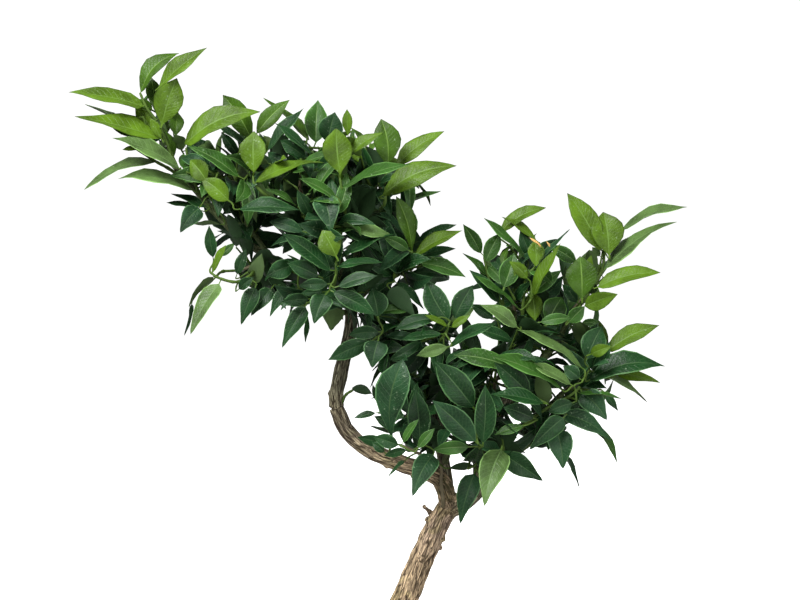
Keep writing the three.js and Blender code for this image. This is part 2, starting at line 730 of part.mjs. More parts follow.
const limbs = growLimbs();
const { solids: limbNodes, grown: grownLimbs } = limbSolids(limbs);
for (const [name, solid] of limbNodes) addNode(name, solid, "bark");

// Places along every limb that leaves keep clear of.
const wood = [...limbs.values()].flatMap((limb) => {
  const shares = evenShares(Math.ceil(limb.curve.getLength() / WOOD_STEP));
  return shares.map((share) => ({ centre: limb.curve.getPointAt(share), radius: limbRadius(limb, share) }));
});
for (const mass of MASSES) {
  const finish = mass.young > 0.5 ? "young" : mass.young > 0.2 ? "mixed" : "old";
  addNode(mass.name, massSolid(mass, limbs, wood, grownLimbs), finish);
}

export default bonsai;
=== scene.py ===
import math
from functools import lru_cache

import bpy
import numpy as np
from bpy.props import FloatProperty, FloatVectorProperty, IntProperty, PointerProperty
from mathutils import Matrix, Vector, kdtree, noise


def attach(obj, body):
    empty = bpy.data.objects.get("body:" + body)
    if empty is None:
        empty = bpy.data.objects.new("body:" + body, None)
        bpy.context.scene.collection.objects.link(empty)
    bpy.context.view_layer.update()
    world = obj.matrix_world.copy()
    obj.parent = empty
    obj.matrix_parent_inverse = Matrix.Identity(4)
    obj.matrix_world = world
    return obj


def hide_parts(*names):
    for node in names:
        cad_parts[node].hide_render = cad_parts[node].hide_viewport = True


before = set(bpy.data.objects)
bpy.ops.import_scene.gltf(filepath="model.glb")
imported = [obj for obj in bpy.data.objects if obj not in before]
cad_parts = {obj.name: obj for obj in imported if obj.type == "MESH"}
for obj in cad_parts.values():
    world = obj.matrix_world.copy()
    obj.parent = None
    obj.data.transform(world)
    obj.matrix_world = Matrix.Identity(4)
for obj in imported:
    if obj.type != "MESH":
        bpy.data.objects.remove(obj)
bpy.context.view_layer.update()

bl_info = {
    "name": "Myrtle-leaf orange bonsai",
    "version": (1, 0, 0),
    "blender": (4, 5, 0),
    "location": "View3D > Sidebar > Bonsai",
    "description": "Bark, twigs, leaves, soil and pot round the solids of the bonsai",
    "category": "Object",
}

MM = 0.001

# The limbs and the masses of leaves, in millimetres, as in the solids.
LIMBS = {
    "trunk": (
        [(-4, 0, 56), (-1, -2, 74), (6, -3, 96), (14, -3, 117), (25, -1, 143), (36, 0, 166), (45, 1, 180)],
        (10.4, 7.2),
    ),
    "bough_left_sweep": (
        [(42, 1, 174), (38, -2, 190), (29, -5, 198), (11, -8, 204.5), (-9, -8, 213), (-24, -6, 225),
         (-31.5, -4, 241)],
        (6.2, 5.1),
    ),
    "bough_left_rise": (
        [(-31.5, -4, 241), (-31.3, -3, 252), (-27, -1, 271), (-23, 0, 288), (-22, 2, 304), (-23, 3, 318)],
        (5.1, 3.9),
    ),
    "bough_centre": ([(41, 2, 178), (40, 6, 192), (38, 7, 206), (35, 4, 224), (34, 1, 246)], (5.0, 3.3)),
    "bough_right": (
        [(42, 1, 172), (54, -1, 179), (62, -2, 189), (62, -1, 204), (68, 2, 222), (79, 4, 244), (87, 5, 268)],
        (5.4, 2.9),
    ),
}
FLARE = {"height": 24, "spread": 0.62, "roots": 5, "depth": 0.3}
STUBS = [  # limb, share of its length, direction, length, radius
    ("trunk", 0.87, (-1, -0.3, 0.5), 8.5, 1.9),
    ("trunk", 0.84, (-0.9, -0.2, 0.1), 1.4, 2.8),
    ("trunk", 0.74, (1, -0.2, 0.1), 1.8, 2.2),
    ("trunk", 0.8, (1, 0, 0.2), 0.6, 5.0),
    ("trunk", 0.665, (0, -1, 0.1), 0.5, 3.6),
    ("trunk", 0.4, (-1, -0.4, 0), 0.8, 3.0),
    ("trunk", 0.98, (0.1, -1, 0.1), 1.0, 5.0),
    ("bough_left_sweep", 0.52, (-0.4, -0.4, -1), 1.0, 2.0),
    ("bough_left_sweep", 0.36, (-0.2, -0.6, -1), 1.6, 1.2),
    ("bough_left_rise", 0.1, (-1, -0.2, 0), 0.9, 1.8),
    ("bough_left_rise", 0.42, (-0.6, -1, 0), 0.5, 1.6),
]
BRANCHES = [  # name, limb it leaves, share of that limb, tip, bow, radii
    ("far_left", "bough_left_rise", 0.97, (-136, -8, 398), 13, (3.2, 1.9)),
    ("left_hanging", "branch_far_left", 0.36, (-84, -22, 334), 3, (1.9, 1.5)),
    ("left_shelf", "branch_far_left", 0.52, (-96, -2, 384), -3, (2.0, 1.6)),
    ("crest", "bough_left_rise", 0.98, (-54, -8, 380), 4, (3.0, 2.0)),
    ("crest_right", "bough_left_rise", 0.94, (-4, -10, 378), -4, (2.9, 1.9)),
    ("heart", "bough_left_rise", 0.9, (-32, -26, 348), -3, (2.4, 1.7)),
    ("shoulder", "bough_left_rise", 0.86, (12, -8, 330), -3, (2.7, 1.8)),
    ("skirt", "bough_left_rise", 0.8, (-38, -26, 312), 3, (2.3, 1.7)),
    ("back_left", "branch_far_left", 0.26, (-88, 30, 354), 5, (2.3, 1.8)),
    ("back_middle", "bough_left_rise", 0.99, (-34, 30, 356), 4, (2.8, 1.9)),
    ("back_right", "bough_left_rise", 0.88, (8, 30, 326), -5, (2.7, 1.8)),
    ("inner", "bough_centre", 0.97, (22, -4, 272), -3, (2.7, 1.9)),
    ("inner_low", "bough_centre", 0.55, (18, -10, 234), 3, (2.4, 1.7)),
    ("apron", "bough_centre", 0.35, (46, -20, 220), -3, (2.6, 1.9)),
    ("front", "bough_right", 0.58, (70, -20, 256), 3, (2.4, 1.8)),
    ("middle", "bough_right", 0.98, (84, 0, 304), 2, (2.6, 1.9)),
    ("right_tip", "bough_right", 0.9, (122, -4, 304), 6, (2.4, 1.8)),
    ("right_side", "bough_right", 0.54, (116, -10, 252), 6, (2.9, 1.9)),
    ("right_low", "bough_right", 0.4, (96, -4, 218), 4, (2.4, 1.7)),
    ("lower_back", "bough_centre", 0.65, (42, 30, 242), 4, (2.7, 1.8)),
    ("right_back", "bough_right", 0.68, (100, 32, 262), 4, (2.6, 1.8)),
]
MASSES = [  # name, centre, radii, shoots, lift, droop, share of young leaves, seed, leaders
    ("far_left", (-156, -8, 418), (51, 54, 57), 6, 0.5, 30, 1, 734,
     [(-158, -10, 441), (-144, 8, 414), (-132, -16, 404)]),
    ("left_shelf", (-104, -8, 396), (50, 56, 45), 6, 0.4, 34, 0.6, 713, [(-108, -26, 392), (-94, 2, 412)]),
    ("left_hanging", (-96, -24, 330), (41, 48, 45), 6, -0.7, 42, 0.1, 379,
     [(-108, -28, 330), (-84, -34, 322)]),
    ("crest", (-56, -12, 404), (50, 56, 40), 6, 0.4, 30, 0.7, 445, [(-64, -28, 398), (-50, -2, 416)]),
    ("crest_right", (2, -14, 398), (47, 56, 42), 7, 0.4, 30, 0.7, 4,
     [(-24, -28, 392), (6, -14, 402), (22, -8, 390)]),
    ("heart", (-34, -42, 362), (50, 46, 46), 6, 0.1, 36, 0.3, 54, [(-32, -48, 358)]),
    ("shoulder", (14, -12, 342), (40, 52, 46), 6, 0.2, 34, 0.35, 553, [(17, -24, 346), (32, -6, 336)]),
    ("skirt", (-42, -34, 320), (50, 46, 42), 7, -0.1, 38, 0.15, 756, [(-42, -40, 314), (-14, -32, 318)]),
    ("back_left", (-96, 46, 368), (44, 54, 54), 6, 0.2, 34, 0.4, 17, []),
    ("back_middle", (-34, 50, 382), (56, 54, 58), 7, 0.2, 34, 0.4, 520, []),
    ("back_right", (10, 46, 338), (46, 54, 54), 6, 0.2, 34, 0.4, 675, []),
    ("inner", (18, -14, 286), (47, 54, 46), 7, 0, 34, 0, 11, [(-2, -24, 280), (40, -18, 296)]),
    ("inner_low", (20, -24, 238), (44, 48, 46), 6, -0.1, 30, 0, 751, [(2, -28, 242), (12, -34, 222)]),
    ("apron", (56, -34, 220), (54, 48, 54), 7, -0.2, 26, 0, 36,
     [(32, -36, 214), (60, -36, 202), (74, -40, 216)]),
    ("front", (76, -34, 274), (54, 48, 50), 7, 0, 34, 0, 772, [(62, -42, 280)]),
    ("middle", (84, -4, 326), (38, 52, 46), 7, 0.6, 26, 0.5, 678,
     [(68, -10, 334), (92, -14, 334), (94, 6, 352)]),
    ("right_tip", (146, -6, 332), (52, 54, 50), 5, 0.4, 28, 1, 627, [(141, -8, 346), (132, -16, 322)]),
    ("right_side", (138, -10, 266), (47, 54, 44), 6, 0.2, 34, 0.45, 375, [(136, -20, 264), (142, -4, 272)]),
    ("right_low", (108, -12, 226), (44, 52, 42), 6, -0.3, 38, 0, 10, [(116, -22, 226), (110, 0, 214)]),
    ("lower_back", (42, 44, 254), (56, 54, 58), 7, 0.1, 34, 0.2, 81, []),
    ("right_back", (110, 46, 280), (58, 54, 58), 7, 0.2, 34, 0.3, 679, []),
]
MASSES = [
    dict(zip(("name", "centre", "radii", "shoots", "lift", "droop", "young", "seed", "leaders"), row))
    for row in MASSES
]

# Stems that stand out in the picture: the limb and its share where each starts, then picture
# column, picture row and depth in millimetres behind the crown's middle.
STEMS = [
    ("branch_far_left", 0.97, [(166, 141, -10), (157, 122, -9), (147, 108, -8), (140, 93, -6)]),
    ("branch_far_left", 0.88, [(171, 170, -9), (155, 161, -8), (135, 148, -6)]),
    ("branch_far_left", 0.8, [(196, 186, -12), (189, 165, -14), (186, 148, -14)]),
    ("branch_far_left", 0.7, [(214, 204, -22), (203, 188, -26), (196, 178, -24)]),
    ("branch_crest", 0.95, [(276, 200, -40), (256, 186, -44), (253, 176, -42)]),
    ("branch_heart", 0.9, [(345, 215, -46), (342, 192, -54), (340, 178, -54)]),
    ("branch_crest_right", 0.8, [(384, 205, -38), (386, 180, -32), (388, 168, -28)]),
    ("branch_shoulder", 0.95, [(408, 264, -24), (413, 254, -34)]),
    ("branch_skirt", 0.96, [(332, 292, -50), (336, 275, -64), (336, 262, -68)]),
    ("branch_left_hanging", 0.9, [(250, 276, -38), (236, 282, -44), (219, 278, -46), (210, 272, -44)]),
    ("branch_inner", 0.98, [(430, 352, -30), (444, 336, -44), (450, 322, -44)]),
    ("bough_right", 0.97, [(520, 345, -8), (522, 318, -20), (526, 280, -28), (534, 268, -28)]),
    ("branch_middle", 0.95, [(500, 300, -16), (489, 278, -12), (484, 256, -8)]),
    ("branch_right_tip", 0.98, [(583, 301, -12), (597, 281, -9), (603, 266, -6), (605, 250, -5), (612, 240, -3)]),
    ("bough_right", 0.42, [(500, 447, -30), (523, 426, -52), (546, 409, -54), (575, 392, -48), (589, 372, -38)]),
    ("trunk", 0.9, [(443, 499, -9), (441, 482, -11), (440, 464, -22), (420, 454, -60), (401, 445, -74)]),
    ("bough_right", 0.35, [(486, 462, -36), (479, 447, -70)]),
    ("branch_right_low", 0.9, [(545, 436, -38), (559, 428, -52)]),
    ("bough_right", 0.3, [(500, 461, -24), (541, 443, -30)]),
    ("bough_left_sweep", 0.97, [(345, 396, -6), (353, 390, -8)]),
]

# The tones that leaves come in.
LIME, GRASS, PALE, MID, DEEP, BLUE, DRY = range(7)

# Leaves that stand out in the picture: column and row of the blade's foot and of its tip, the
# foot's depth in millimetres, how much deeper the tip is, the width seen in pixels, 1 where the
# upper side shows and -1 where the lower one does, how far it arches in degrees (less than 0 for downwards or inwards), and its tone.
LED = [
    (143, 106, 68, 93, -8, -6, 18, 1, 12, LIME, 0.75), (141, 92, 181, 55, -6, 8, 17, 1, 52, GRASS),
    (159, 87, 208, 48, -14, -4, 15, 1, 12, LIME), (162, 124, 177, 78, -18, 2, 31, 1, 12, LIME),
    (160, 138, 74, 117, -14, -4, 15, 1, 8, LIME), (124, 123, 84, 104, -4, 4, 5, 1, -6, PALE),
    (179, 168, 111, 139, -20, -8, 16, 1, 20, PALE), (158, 161, 85, 193, -8, -4, 9, 1, 36, PALE),
    (192, 190, 117, 182, -16, -6, 15, 1, 42, PALE), (140, 148, 122, 150, -6, -4, 6, 1, 10, LIME),
    (185, 144, 262, 114, -14, 0, 24, 1, 38, LIME, 0.8), (251, 138, 223, 95, -6, 12, 25, 1, 20, GRASS),
    (257, 133, 290, 100, -4, 6, 17, 1, 16, GRASS), (309, 140, 262, 98, 0, 10, 8, 1, 12, GRASS),
    (254, 172, 254, 131, -46, 5, 27, 1, 10, LIME), (206, 180, 190, 160, -38, 6, 20, 1, 20, LIME),
    (228, 200, 201, 178, -42, 6, 20, 1, 24, LIME), (256, 182, 326, 165, -46, 0, 14, 1, 32, LIME),
    (205, 207, 170, 194, -12, 0, 9, 1, 14, DEEP), (200, 210, 166, 203, -14, 4, 7, 1, 12, DEEP),
    (176, 135, 178, 112, 0, 8, 16, 1, 10, GRASS), (157, 106, 152, 78, 0, 4, 16, 1, 10, GRASS),
    (166, 98, 172, 82, -2, 4, 12, 1, 10, GRASS), (142, 139, 105, 122, -4, 0, 11, 1, -10, GRASS),
    (153, 130, 135, 107, -4, 2, 16, 1, 10, LIME), (152, 110, 134, 100, -2, 2, 13, 1, 10, GRASS),
    (161, 138, 150, 118, -16, 0, 10, 1, 10, LIME), (182, 150, 175, 134, -2, -8, 14, -1, 10, MID),
    (187, 150, 209, 142, 4, 6, 14, 1, 10, DEEP), (238, 176, 187, 147, -30, 0, 12, 1, 20, MID),
    (316, 142, 318, 100, 0, 10, 25, 1, 8, MID), (328, 142, 335, 112, -6, 0, 26, 1, 10, DEEP),
    (348, 135, 347, 109, -20, -2, 11, 1, 4, LIME), (340, 173, 336, 128, -56, 4, 31, 1, 10, LIME),
    (345, 158, 384, 133, -44, -4, 11, 1, 20, LIME), (388, 165, 381, 119, -32, 5, 28, 1, 30, GRASS),
    (397, 165, 445, 132, -20, 4, 16, 1, 20, LIME), (343, 188, 412, 166, -58, -4, 10, 1, 24, MID),
    (383, 195, 458, 168, -44, -2, 20, 1, 36, LIME), (395, 208, 442, 191, -16, 0, 6, 1, -6, MID),
    (375, 207, 412, 208, -30, 0, 13, 1, 16, DEEP), (412, 250, 395, 196, -36, -4, 16, 1, 20, GRASS),
    (416, 254, 463, 231, -34, 0, 14, 1, 16, LIME), (418, 241, 457, 225, -24, 4, 9, 1, 10, DEEP),
    (420, 256, 456, 249, -26, 4, 9, 1, 12, DEEP), (336, 256, 322, 230, -72, 3, 24, 1, 14, LIME),
    (330, 270, 282, 234, -66, -6, 15, 1, 12, DEEP), (342, 255, 397, 234, -62, 0, 10, 1, 10, DEEP),
    (408, 250, 383, 237, -40, -4, 12, 1, 30, MID), (240, 209, 300, 211, -54, -4, 13, 1, 16, DEEP),
    (337, 200, 298, 179, -60, -4, 11, 1, 20, MID), (323, 196, 331, 232, -62, -8, 26, 1, 20, BLUE),
    (305, 157, 280, 140, -14, 0, 16, 1, 10, DEEP), (268, 150, 304, 108, -10, 4, 11, 1, 2, DEEP),
    (311, 154, 274, 123, -20, 4, 8, 1, 10, DEEP), (310, 216, 297, 190, -52, -6, 14, 1, 14, DEEP),
    (199, 208, 180, 233, -30, -8, 20, 1, 26, BLUE), (220, 224, 188, 224, -24, -6, 5, -1, 4, MID),
    (213, 257, 209, 225, -40, -4, 12, 1, 10, DEEP), (212, 273, 226, 245, -44, -4, 8, 1, 6, LIME),
    (219, 284, 191, 335, -46, -8, 17, 1, 16, PALE), (213, 277, 189, 308, -40, 0, 8, -1, 20, MID),
    (192, 304, 184, 336, -36, 0, 4, 1, 6, DEEP), (221, 256, 235, 243, -34, 4, 8, 1, 8, MID),
    (237, 274, 246, 249, -38, 2, 11, 1, 10, DEEP), (252, 286, 262, 253, -32, 2, 16, -1, 10, MID),
    (239, 289, 254, 277, -46, -4, 11, 1, 20, DEEP), (255, 288, 241, 325, -44, -4, 17, 1, 10, DEEP),
    (271, 289, 251, 316, -40, -2, 16, 1, 14, DEEP), (289, 286, 270, 317, -46, -2, 12, 1, 14, DEEP),
    (293, 265, 266, 276, -56, -6, 19, 1, 14, DEEP), (318, 276, 287, 263, -62, -4, 17, 1, 16, DEEP),
    (327, 284, 298, 286, -70, -4, 12, 1, 14, DEEP), (308, 299, 282, 302, -60, -2, 14, 1, 14, DEEP),
    (322, 292, 301, 293, -66, 0, 8, 1, 10, DEEP), (305, 307, 282, 348, -56, -4, 17, 1, 12, DEEP),
    (306, 314, 305, 343, -44, 0, 4, 1, 8, DEEP), (325, 295, 314, 324, -70, -6, 22, 1, 16, DEEP),
    (334, 307, 331, 331, -36, 4, 24, -1, 10, MID), (334, 292, 376, 315, -72, -4, 17, 1, 14, DEEP),
    (378, 316, 372, 289, -52, 5, 25, 1, 14, DEEP), (339, 286, 378, 276, -74, -4, 13, 1, 16, DEEP),
    (339, 266, 383, 263, -70, -2, 10, 1, 12, DEEP), (390, 289, 415, 317, -44, 0, 19, -1, 16, DEEP),
    (380, 312, 413, 311, -40, 0, 9, 1, 16, MID), (448, 320, 426, 279, -42, 6, 24, 1, -22, DEEP),
    (455, 318, 473, 285, -38, 6, 21, 1, 16, DEEP), (447, 326, 424, 315, -48, -2, 6, 1, 6, LIME),
    (452, 327, 471, 315, -48, -2, 8, 1, 10, LIME), (449, 347, 499, 323, -46, 0, 9, 1, 16, DEEP),
    (436, 318, 394, 331, -46, 0, 13, 1, 20, DEEP), (441, 334, 400, 341, -52, 0, 9, 1, 14, DEEP),
    (447, 347, 416, 356, -56, -2, 12, 1, 14, PALE), (378, 332, 348, 335, -50, 0, 14, 1, 16, DEEP),
    (369, 342, 328, 360, -54, -2, 18, 1, 14, DEEP), (378, 341, 372, 368, -60, -4, 24, 1, 14, BLUE),
    (392, 439, 403, 358, -72, -6, 34, 1, 40, BLUE, 2.0), (473, 407, 434, 361, -70, -4, 28, 1, 10, DEEP),
    (475, 441, 432, 400, -78, -6, 24, 1, 12, BLUE), (483, 442, 485, 384, -74, -4, 22, 1, 10, DEEP),
    (420, 441, 415, 388, -66, -4, 23, 1, 8, DEEP), (403, 442, 419, 419, -80, -2, 8, 1, 10, MID),
    (418, 448, 435, 428, -80, 0, 9, 1, 10, MID), (398, 445, 373, 437, -78, 0, 14, 1, 12, DEEP),
    (406, 450, 384, 456, -76, 0, 9, 1, 12, DEEP), (468, 447, 432, 450, -72, -2, 14, 1, 14, MID),
    (352, 388, 372, 394, -8, -4, 10, -1, 30, DEEP), (375, 413, 354, 418, -40, 0, 6, 1, 6, DEEP),
    (433, 455, 412, 497, -68, -14, 23, 1, 30, BLUE), (474, 474, 460, 524, -40, -6, 22, 1, 14, BLUE),
    (501, 450, 484, 507, -60, -18, 28, 1, 24, PALE), (506, 456, 543, 481, -50, 0, 22, 1, 6, DEEP),
    (404, 461, 388, 477, -60, 0, 4, 1, 6, DEEP), (450, 468, 478, 467, -30, 0, 9, -1, 4, DEEP),
    (523, 426, 494, 435, -64, 0, 9, 1, 8, MID), (543, 403, 490, 395, -70, 0, 11, 1, 16, DEEP),
    (529, 394, 494, 362, -62, -4, 22, 1, 14, DEEP), (561, 389, 488, 358, -68, 0, 8, 1, 26, MID),
    (570, 384, 528, 364, -62, -2, 12, 1, 14, PALE), (581, 367, 515, 331, -50, -4, 12, 1, 22, PALE),
    (579, 378, 563, 366, -58, 0, 14, 1, 14, DEEP), (548, 404, 536, 374, -50, 0, 16, -1, 10, MID),
    (533, 418, 503, 407, -60, 0, 18, 1, 14, DEEP), (510, 367, 453, 356, -58, 0, 17, 1, 20, MID),
    (590, 380, 666, 369, -34, 0, 21, 1, 46, DEEP), (612, 371, 660, 384, -24, 2, 12, 1, -28, LIME),
    (604, 374, 647, 404, -20, 2, 8, 1, -26, PALE), (583, 393, 607, 420, -46, -4, 24, 1, 26, BLUE),
    (580, 393, 622, 399, -50, 0, 5, 1, 8, MID), (607, 396, 618, 411, -40, 0, 8, 1, 10, DEEP),
    (568, 411, 593, 409, -46, 0, 14, 1, 12, DEEP), (572, 403, 548, 412, -60, -2, 15, 1, 16, DEEP),
    (564, 414, 611, 442, -52, 0, 17, 1, 30, BLUE), (594, 426, 616, 464, -48, 0, 9, 1, 30, MID),
    (563, 418, 529, 450, -62, -4, 20, 1, 14, DEEP), (557, 430, 563, 469, -56, -4, 26, 1, 16, BLUE),
    (560, 450, 579, 490, -50, 0, 1.5, 1, -20, DEEP), (601, 250, 567, 193, -12, 7, 27, 1, 14, LIME),
    (609, 254, 603, 212, -14, 8, 36, 1, 14, LIME), (622, 230, 689, 209, -2, 4, 9, 1, 29, PALE),
    (606, 268, 679, 224, -12, -2, 15, 1, 33, PALE), (598, 287, 661, 274, -32, -2, 15, 1, 26, LIME),
    (585, 306, 618, 294, -34, -4, 19, 1, 12, LIME), (582, 298, 580, 256, -30, 6, 34, 1, 8, GRASS),
    (600, 256, 592, 247, 0, 0, 8, -1, 4, MID), (501, 231, 547, 209, 0, 2, 13, 1, 34, LIME),
    (536, 240, 501, 217, -4, 0, 8, 1, 12, LIME), (525, 258, 483, 218, -14, 0, 7, 1, 8, MID),
    (481, 253, 463, 224, -6, 0, 14, 1, 12, MID), (487, 275, 462, 253, -10, 0, 8, 1, 10, MID),
    (486, 261, 500, 233, -12, 6, 17, 1, 12, MID), (504, 287, 514, 253, -30, 8, 21, 1, 10, MID),
    (530, 256, 520, 230, -4, 0, 14, 1, 8, DEEP), (536, 266, 535, 240, -30, 6, 18, 1, 6, LIME), (541, 247, 529, 238, -33, 0, 3, 1, 16, DRY),
    (550, 247, 546, 241, -33, 0, 2, 1, 10, DRY),
    (538, 266, 571, 229, -24, 4, 1, 1, 12, BLUE, 0.5), (576, 262, 548, 245, -8, 0, 14, 1, 16, MID),
    (533, 295, 561, 243, -40, -2, 9, 1, 6, LIME, 0.7), (534, 293, 562, 270, -34, 0, 13, 1, 10, MID),
    (527, 278, 509, 261, -44, -2, 12, 1, 26, LIME), (499, 302, 469, 270, -30, 0, 14, 1, 10, DEEP),
    (517, 307, 473, 275, -36, 0, 5, 1, 4, MID), (577, 302, 562, 284, -20, 0, 12, 1, 8, DEEP),
    (569, 322, 585, 306, -34, 0, 15, 1, 10, MID), (582, 323, 599, 322, -16, 0, 8, 1, 8, MID),
    (587, 358, 602, 326, -34, 8, 25, 1, 12, DEEP), (607, 351, 660, 326, -26, 0, 16, 1, 22, LIME),
    (591, 354, 612, 346, -40, -6, 13, 1, 14, LIME), (517, 327, 479, 305, -48, -2, 14, 1, 24, PALE),
    (548, 322, 562, 297, -26, 8, 26, 1, 14, MID), (535, 320, 532, 292, -22, 6, 20, 1, 10, LIME),
    (541, 322, 572, 318, -40, 0, 11, 1, 14, MID), (421, 263, 466, 278, -30, 0, 14, 1, 20, MID),
    (512, 341, 474, 330, -30, 0, 12, 1, 16, DEEP), (493, 318, 470, 304, -20, 0, 12, 1, 12, DEEP),
    (396, 428, 374, 416, -40, 0, 12, 1, 14, DEEP), (240, 152, 262, 140, -10, 0, 13, 1, 12, DEEP), (238, 156, 221, 132, 2, 4, 12, 1, 10, DEEP),
    (398, 284, 424, 310, -34, 4, 9, 1, 10, DEEP), (384, 452, 372, 442, -60, 2, 9, 1, 12, DEEP),
    (386, 445, 357, 437, -56, 0, 12, 1, 14, DEEP), (246, 146, 216, 124, 4, 2, 8, 1, 8, DEEP),
]

# Where the picture shows leaves that are not read singly, and where sky: column, row, radius.
LEAFY = np.array([
    (160, 140, 20), (157, 106, 17), (193, 165, 24), (235, 172, 40), (285, 185, 54), (340, 185, 54), (392, 200, 38),
    (248, 228, 34), (295, 255, 46), (345, 256, 52), (392, 262, 42), (424, 272, 22), (262, 280, 20),
    (298, 296, 22), (330, 300, 20), (376, 320, 30), (412, 350, 34), (452, 350, 44), (400, 400, 28),
    (440, 408, 44), (492, 398, 52), (426, 440, 18), (484, 438, 28), (505, 268, 22), (490, 300, 26),
    (530, 296, 36), (562, 300, 36), (580, 300, 22), (560, 356, 50), (580, 380, 30), (545, 412, 38),
    (512, 446, 14), (598, 262, 12), (385, 424, 13), (384, 376, 12), (254, 150, 14), (282, 146, 14),
    (540, 250, 16), (220, 240, 14),
], float)
SKY = np.array([
    (460, 255, 8), (361, 413, 9), (363, 373, 7), (454, 287, 6), (440, 300, 6), (427, 311, 4), (414, 290, 3),
    (232, 258, 6), (215, 137, 3), (500, 254, 4), (456, 475, 5), (553, 358, 4), (300, 135, 4), (480, 298, 4),
    (480, 320, 3), (280, 120, 3), (162, 69, 3), (226, 233, 3), (200, 218, 3), (570, 336, 3), (572, 433, 5), (427, 365, 3), (419, 224, 7), (598, 312, 5),
    (424, 216, 9), (395, 302, 4), (541, 355, 3), (562, 364, 3), (459, 332, 3), (493, 380, 3), (520, 447, 3), (251, 249, 3), (451, 353, 3), (486, 342, 3), (557, 268, 3),
], float)
LOOK = {"aim": (9.75, 0, 310.7), "distance": 1300, "tilt": 4, "pixel": 0.65, "middle": (400, 300)}
EDGE = 4  # how far a leaf may stand out of those circles
LED_STALK = 5
SAGITTA = math.pi / 8  # an arc's height over its turning, for a half wave of the same height
LED_SLIMNESS = 0.38

TWIG = {
    "sunk": 1.5,  # the stem's depth in its branch
    "stem_radius": 1.5,
    "shoot_radius": 0.95,
    "led_radius": 1.35,
    "side_radius": 0.7,
    "tip_radius": 0.5,
    "reach_inside": 26,  # how far tips stay inside the mass's ellipsoid, for the leaves past them
    "least_reach": 6,
    "heights": (-0.85, 0.97),
    "places": 160,
    "inner_share": 0.6,
    "spacing": 13,
    "finer": 1.4,  # finer shoots between the others, as a share of their number
    "finer_spacing": 8,
    "shortest": 9,
    "turning_cost": 1.9,
    "rise": 0.2,
    "rise_with_lift": 0.35,
    "leaf_lift": 0.3,
    "bearing": 0.9,  # how near a twig's middle something starts that it carries
    "longest_bare": 3,
}
SPIRAL = 137.5  # degrees from one leaf to the next round its shoot
ODD_WAY = np.array([0.31, 0.17, 0.9])
UP = np.array([0.0, 0.0, 1.0])
TOWARDS_VIEWER = np.array([0.0, -1.0, 0.0])
LEAF_TURNS = (0, 35, -35, 70, -70, 110, -110)
LEAF_SHRINKS = (1, 0.82, 0.66)
MASK = 0xFFFFFFFF


def seeded(seed):
    """Even random numbers from 0 to 1, the same ones for the same seed."""
    state = seed & MASK

    def draw(low=0.0, high=1.0):
        nonlocal state
        state = (state + 0x6D2B79F5) & MASK
        t = ((state ^ (state >> 15)) * (state | 1)) & MASK
        t = ((t + (((t ^ (t >> 7)) * (t | 61)) & MASK)) ^ t) & MASK
        return low + (high - low) * (t ^ (t >> 14)) / (MASK + 1)

    return draw


def unit(v):
    """Vectors made one long."""
    return v / np.maximum(np.linalg.norm(v, axis=-1, keepdims=True), 1e-9)


def turned(v, axis, degrees):
    """A vector turned round an axis."""
    a = math.radians(degrees)
    return v * math.cos(a) + np.cross(axis, v) * math.sin(a) + axis * (axis @ v) * (1 - math.cos(a))


def squared_off(v, axis):
    """The part of a vector that stands square to an axis, made one long."""
    return unit(v - axis * (v @ axis))


class Path:
    """A smooth curve through points, measured by shares of its length."""

    def __init__(self, points, detail=12):
        p = np.array(points, float)
        ends = np.vstack([2 * p[0] - p[1], p, 2 * p[-1] - p[-2]])
        t = np.linspace(0, 1, detail, endpoint=False)[:, None]
        h = (2 * t**3 - 3 * t**2 + 1, t**3 - 2 * t**2 + t, 3 * t**2 - 2 * t**3, t**3 - t**2)
        parts = [
            h[0] * b + h[1] * (c - a) / 2 + h[2] * c + h[3] * (d - b) / 2
            for a, b, c, d in zip(ends, ends[1:], ends[2:], ends[3:])
        ]
        self.points = np.vstack([*parts, p[-1:]])
        self.steps = np.concatenate([[0], np.linalg.norm(np.diff(self.points, axis=0), axis=1).cumsum()])
        self.length = self.steps[-1]

    def at(self, share):
        """The place at this share of the length."""
        return np.array([np.interp(share * self.length, self.steps, self.points[:, i]) for i in range(3)]).T

    def along(self, share):
        """The direction there, towards the tip."""
        step = 0.01
        return unit(self.at(np.minimum(1, share + step)) - self.at(np.maximum(0, share - step)))

    def frames(self, shares):
        """Places, directions and two square directions that don't twist along the way."""
        places, ways = self.at(shares), self.along(shares)
        across = [squared_off(ODD_WAY, ways[0])]
        for way in ways[1:]:
            across.append(squared_off(across[-1], way))
        across = np.array(across)
        return places, ways, across, np.cross(ways, across)


@lru_cache(maxsize=1)
def grown_limbs():
    """Each limb's path and radii by name, in millimetres."""
    limbs = {name: (Path(points), radii) for name, (points, radii) in LIMBS.items()}
    for name, on, at, tip, bow, radii in BRANCHES:
        root, tip = limbs[on][0].at(at), np.array(tip, float)
        lift = unit(UP - (tip - root) * (tip - root)[2] / ((tip - root) @ (tip - root)))
        limbs["branch_" + name] = (Path([root, (root + tip) / 2 - bow * lift, tip]), radii)
    return limbs


CENTRES = np.array([m["centre"] for m in MASSES], float)
WEIGHTS = np.array([m["radii"] for m in MASSES], float).mean(axis=1)


def room_in(index, points, margin):
    """Which points lie in a mass's ellipsoid, and on its side of the planes half way to the others."""
    offset = points[:, None] - CENTRES
    inside = ((offset[:, index] / np.array(MASSES[index]["radii"])) ** 2).sum(axis=1) <= 1
    power = (offset**2).sum(axis=2) - WEIGHTS**2
    apart = np.linalg.norm(CENTRES - CENTRES[index], axis=1)
    apart[index] = 1
    past = (power - power[:, index : index + 1]) / (2 * apart)
    past[:, index] = math.inf
    return inside & (past > margin).all(axis=1)


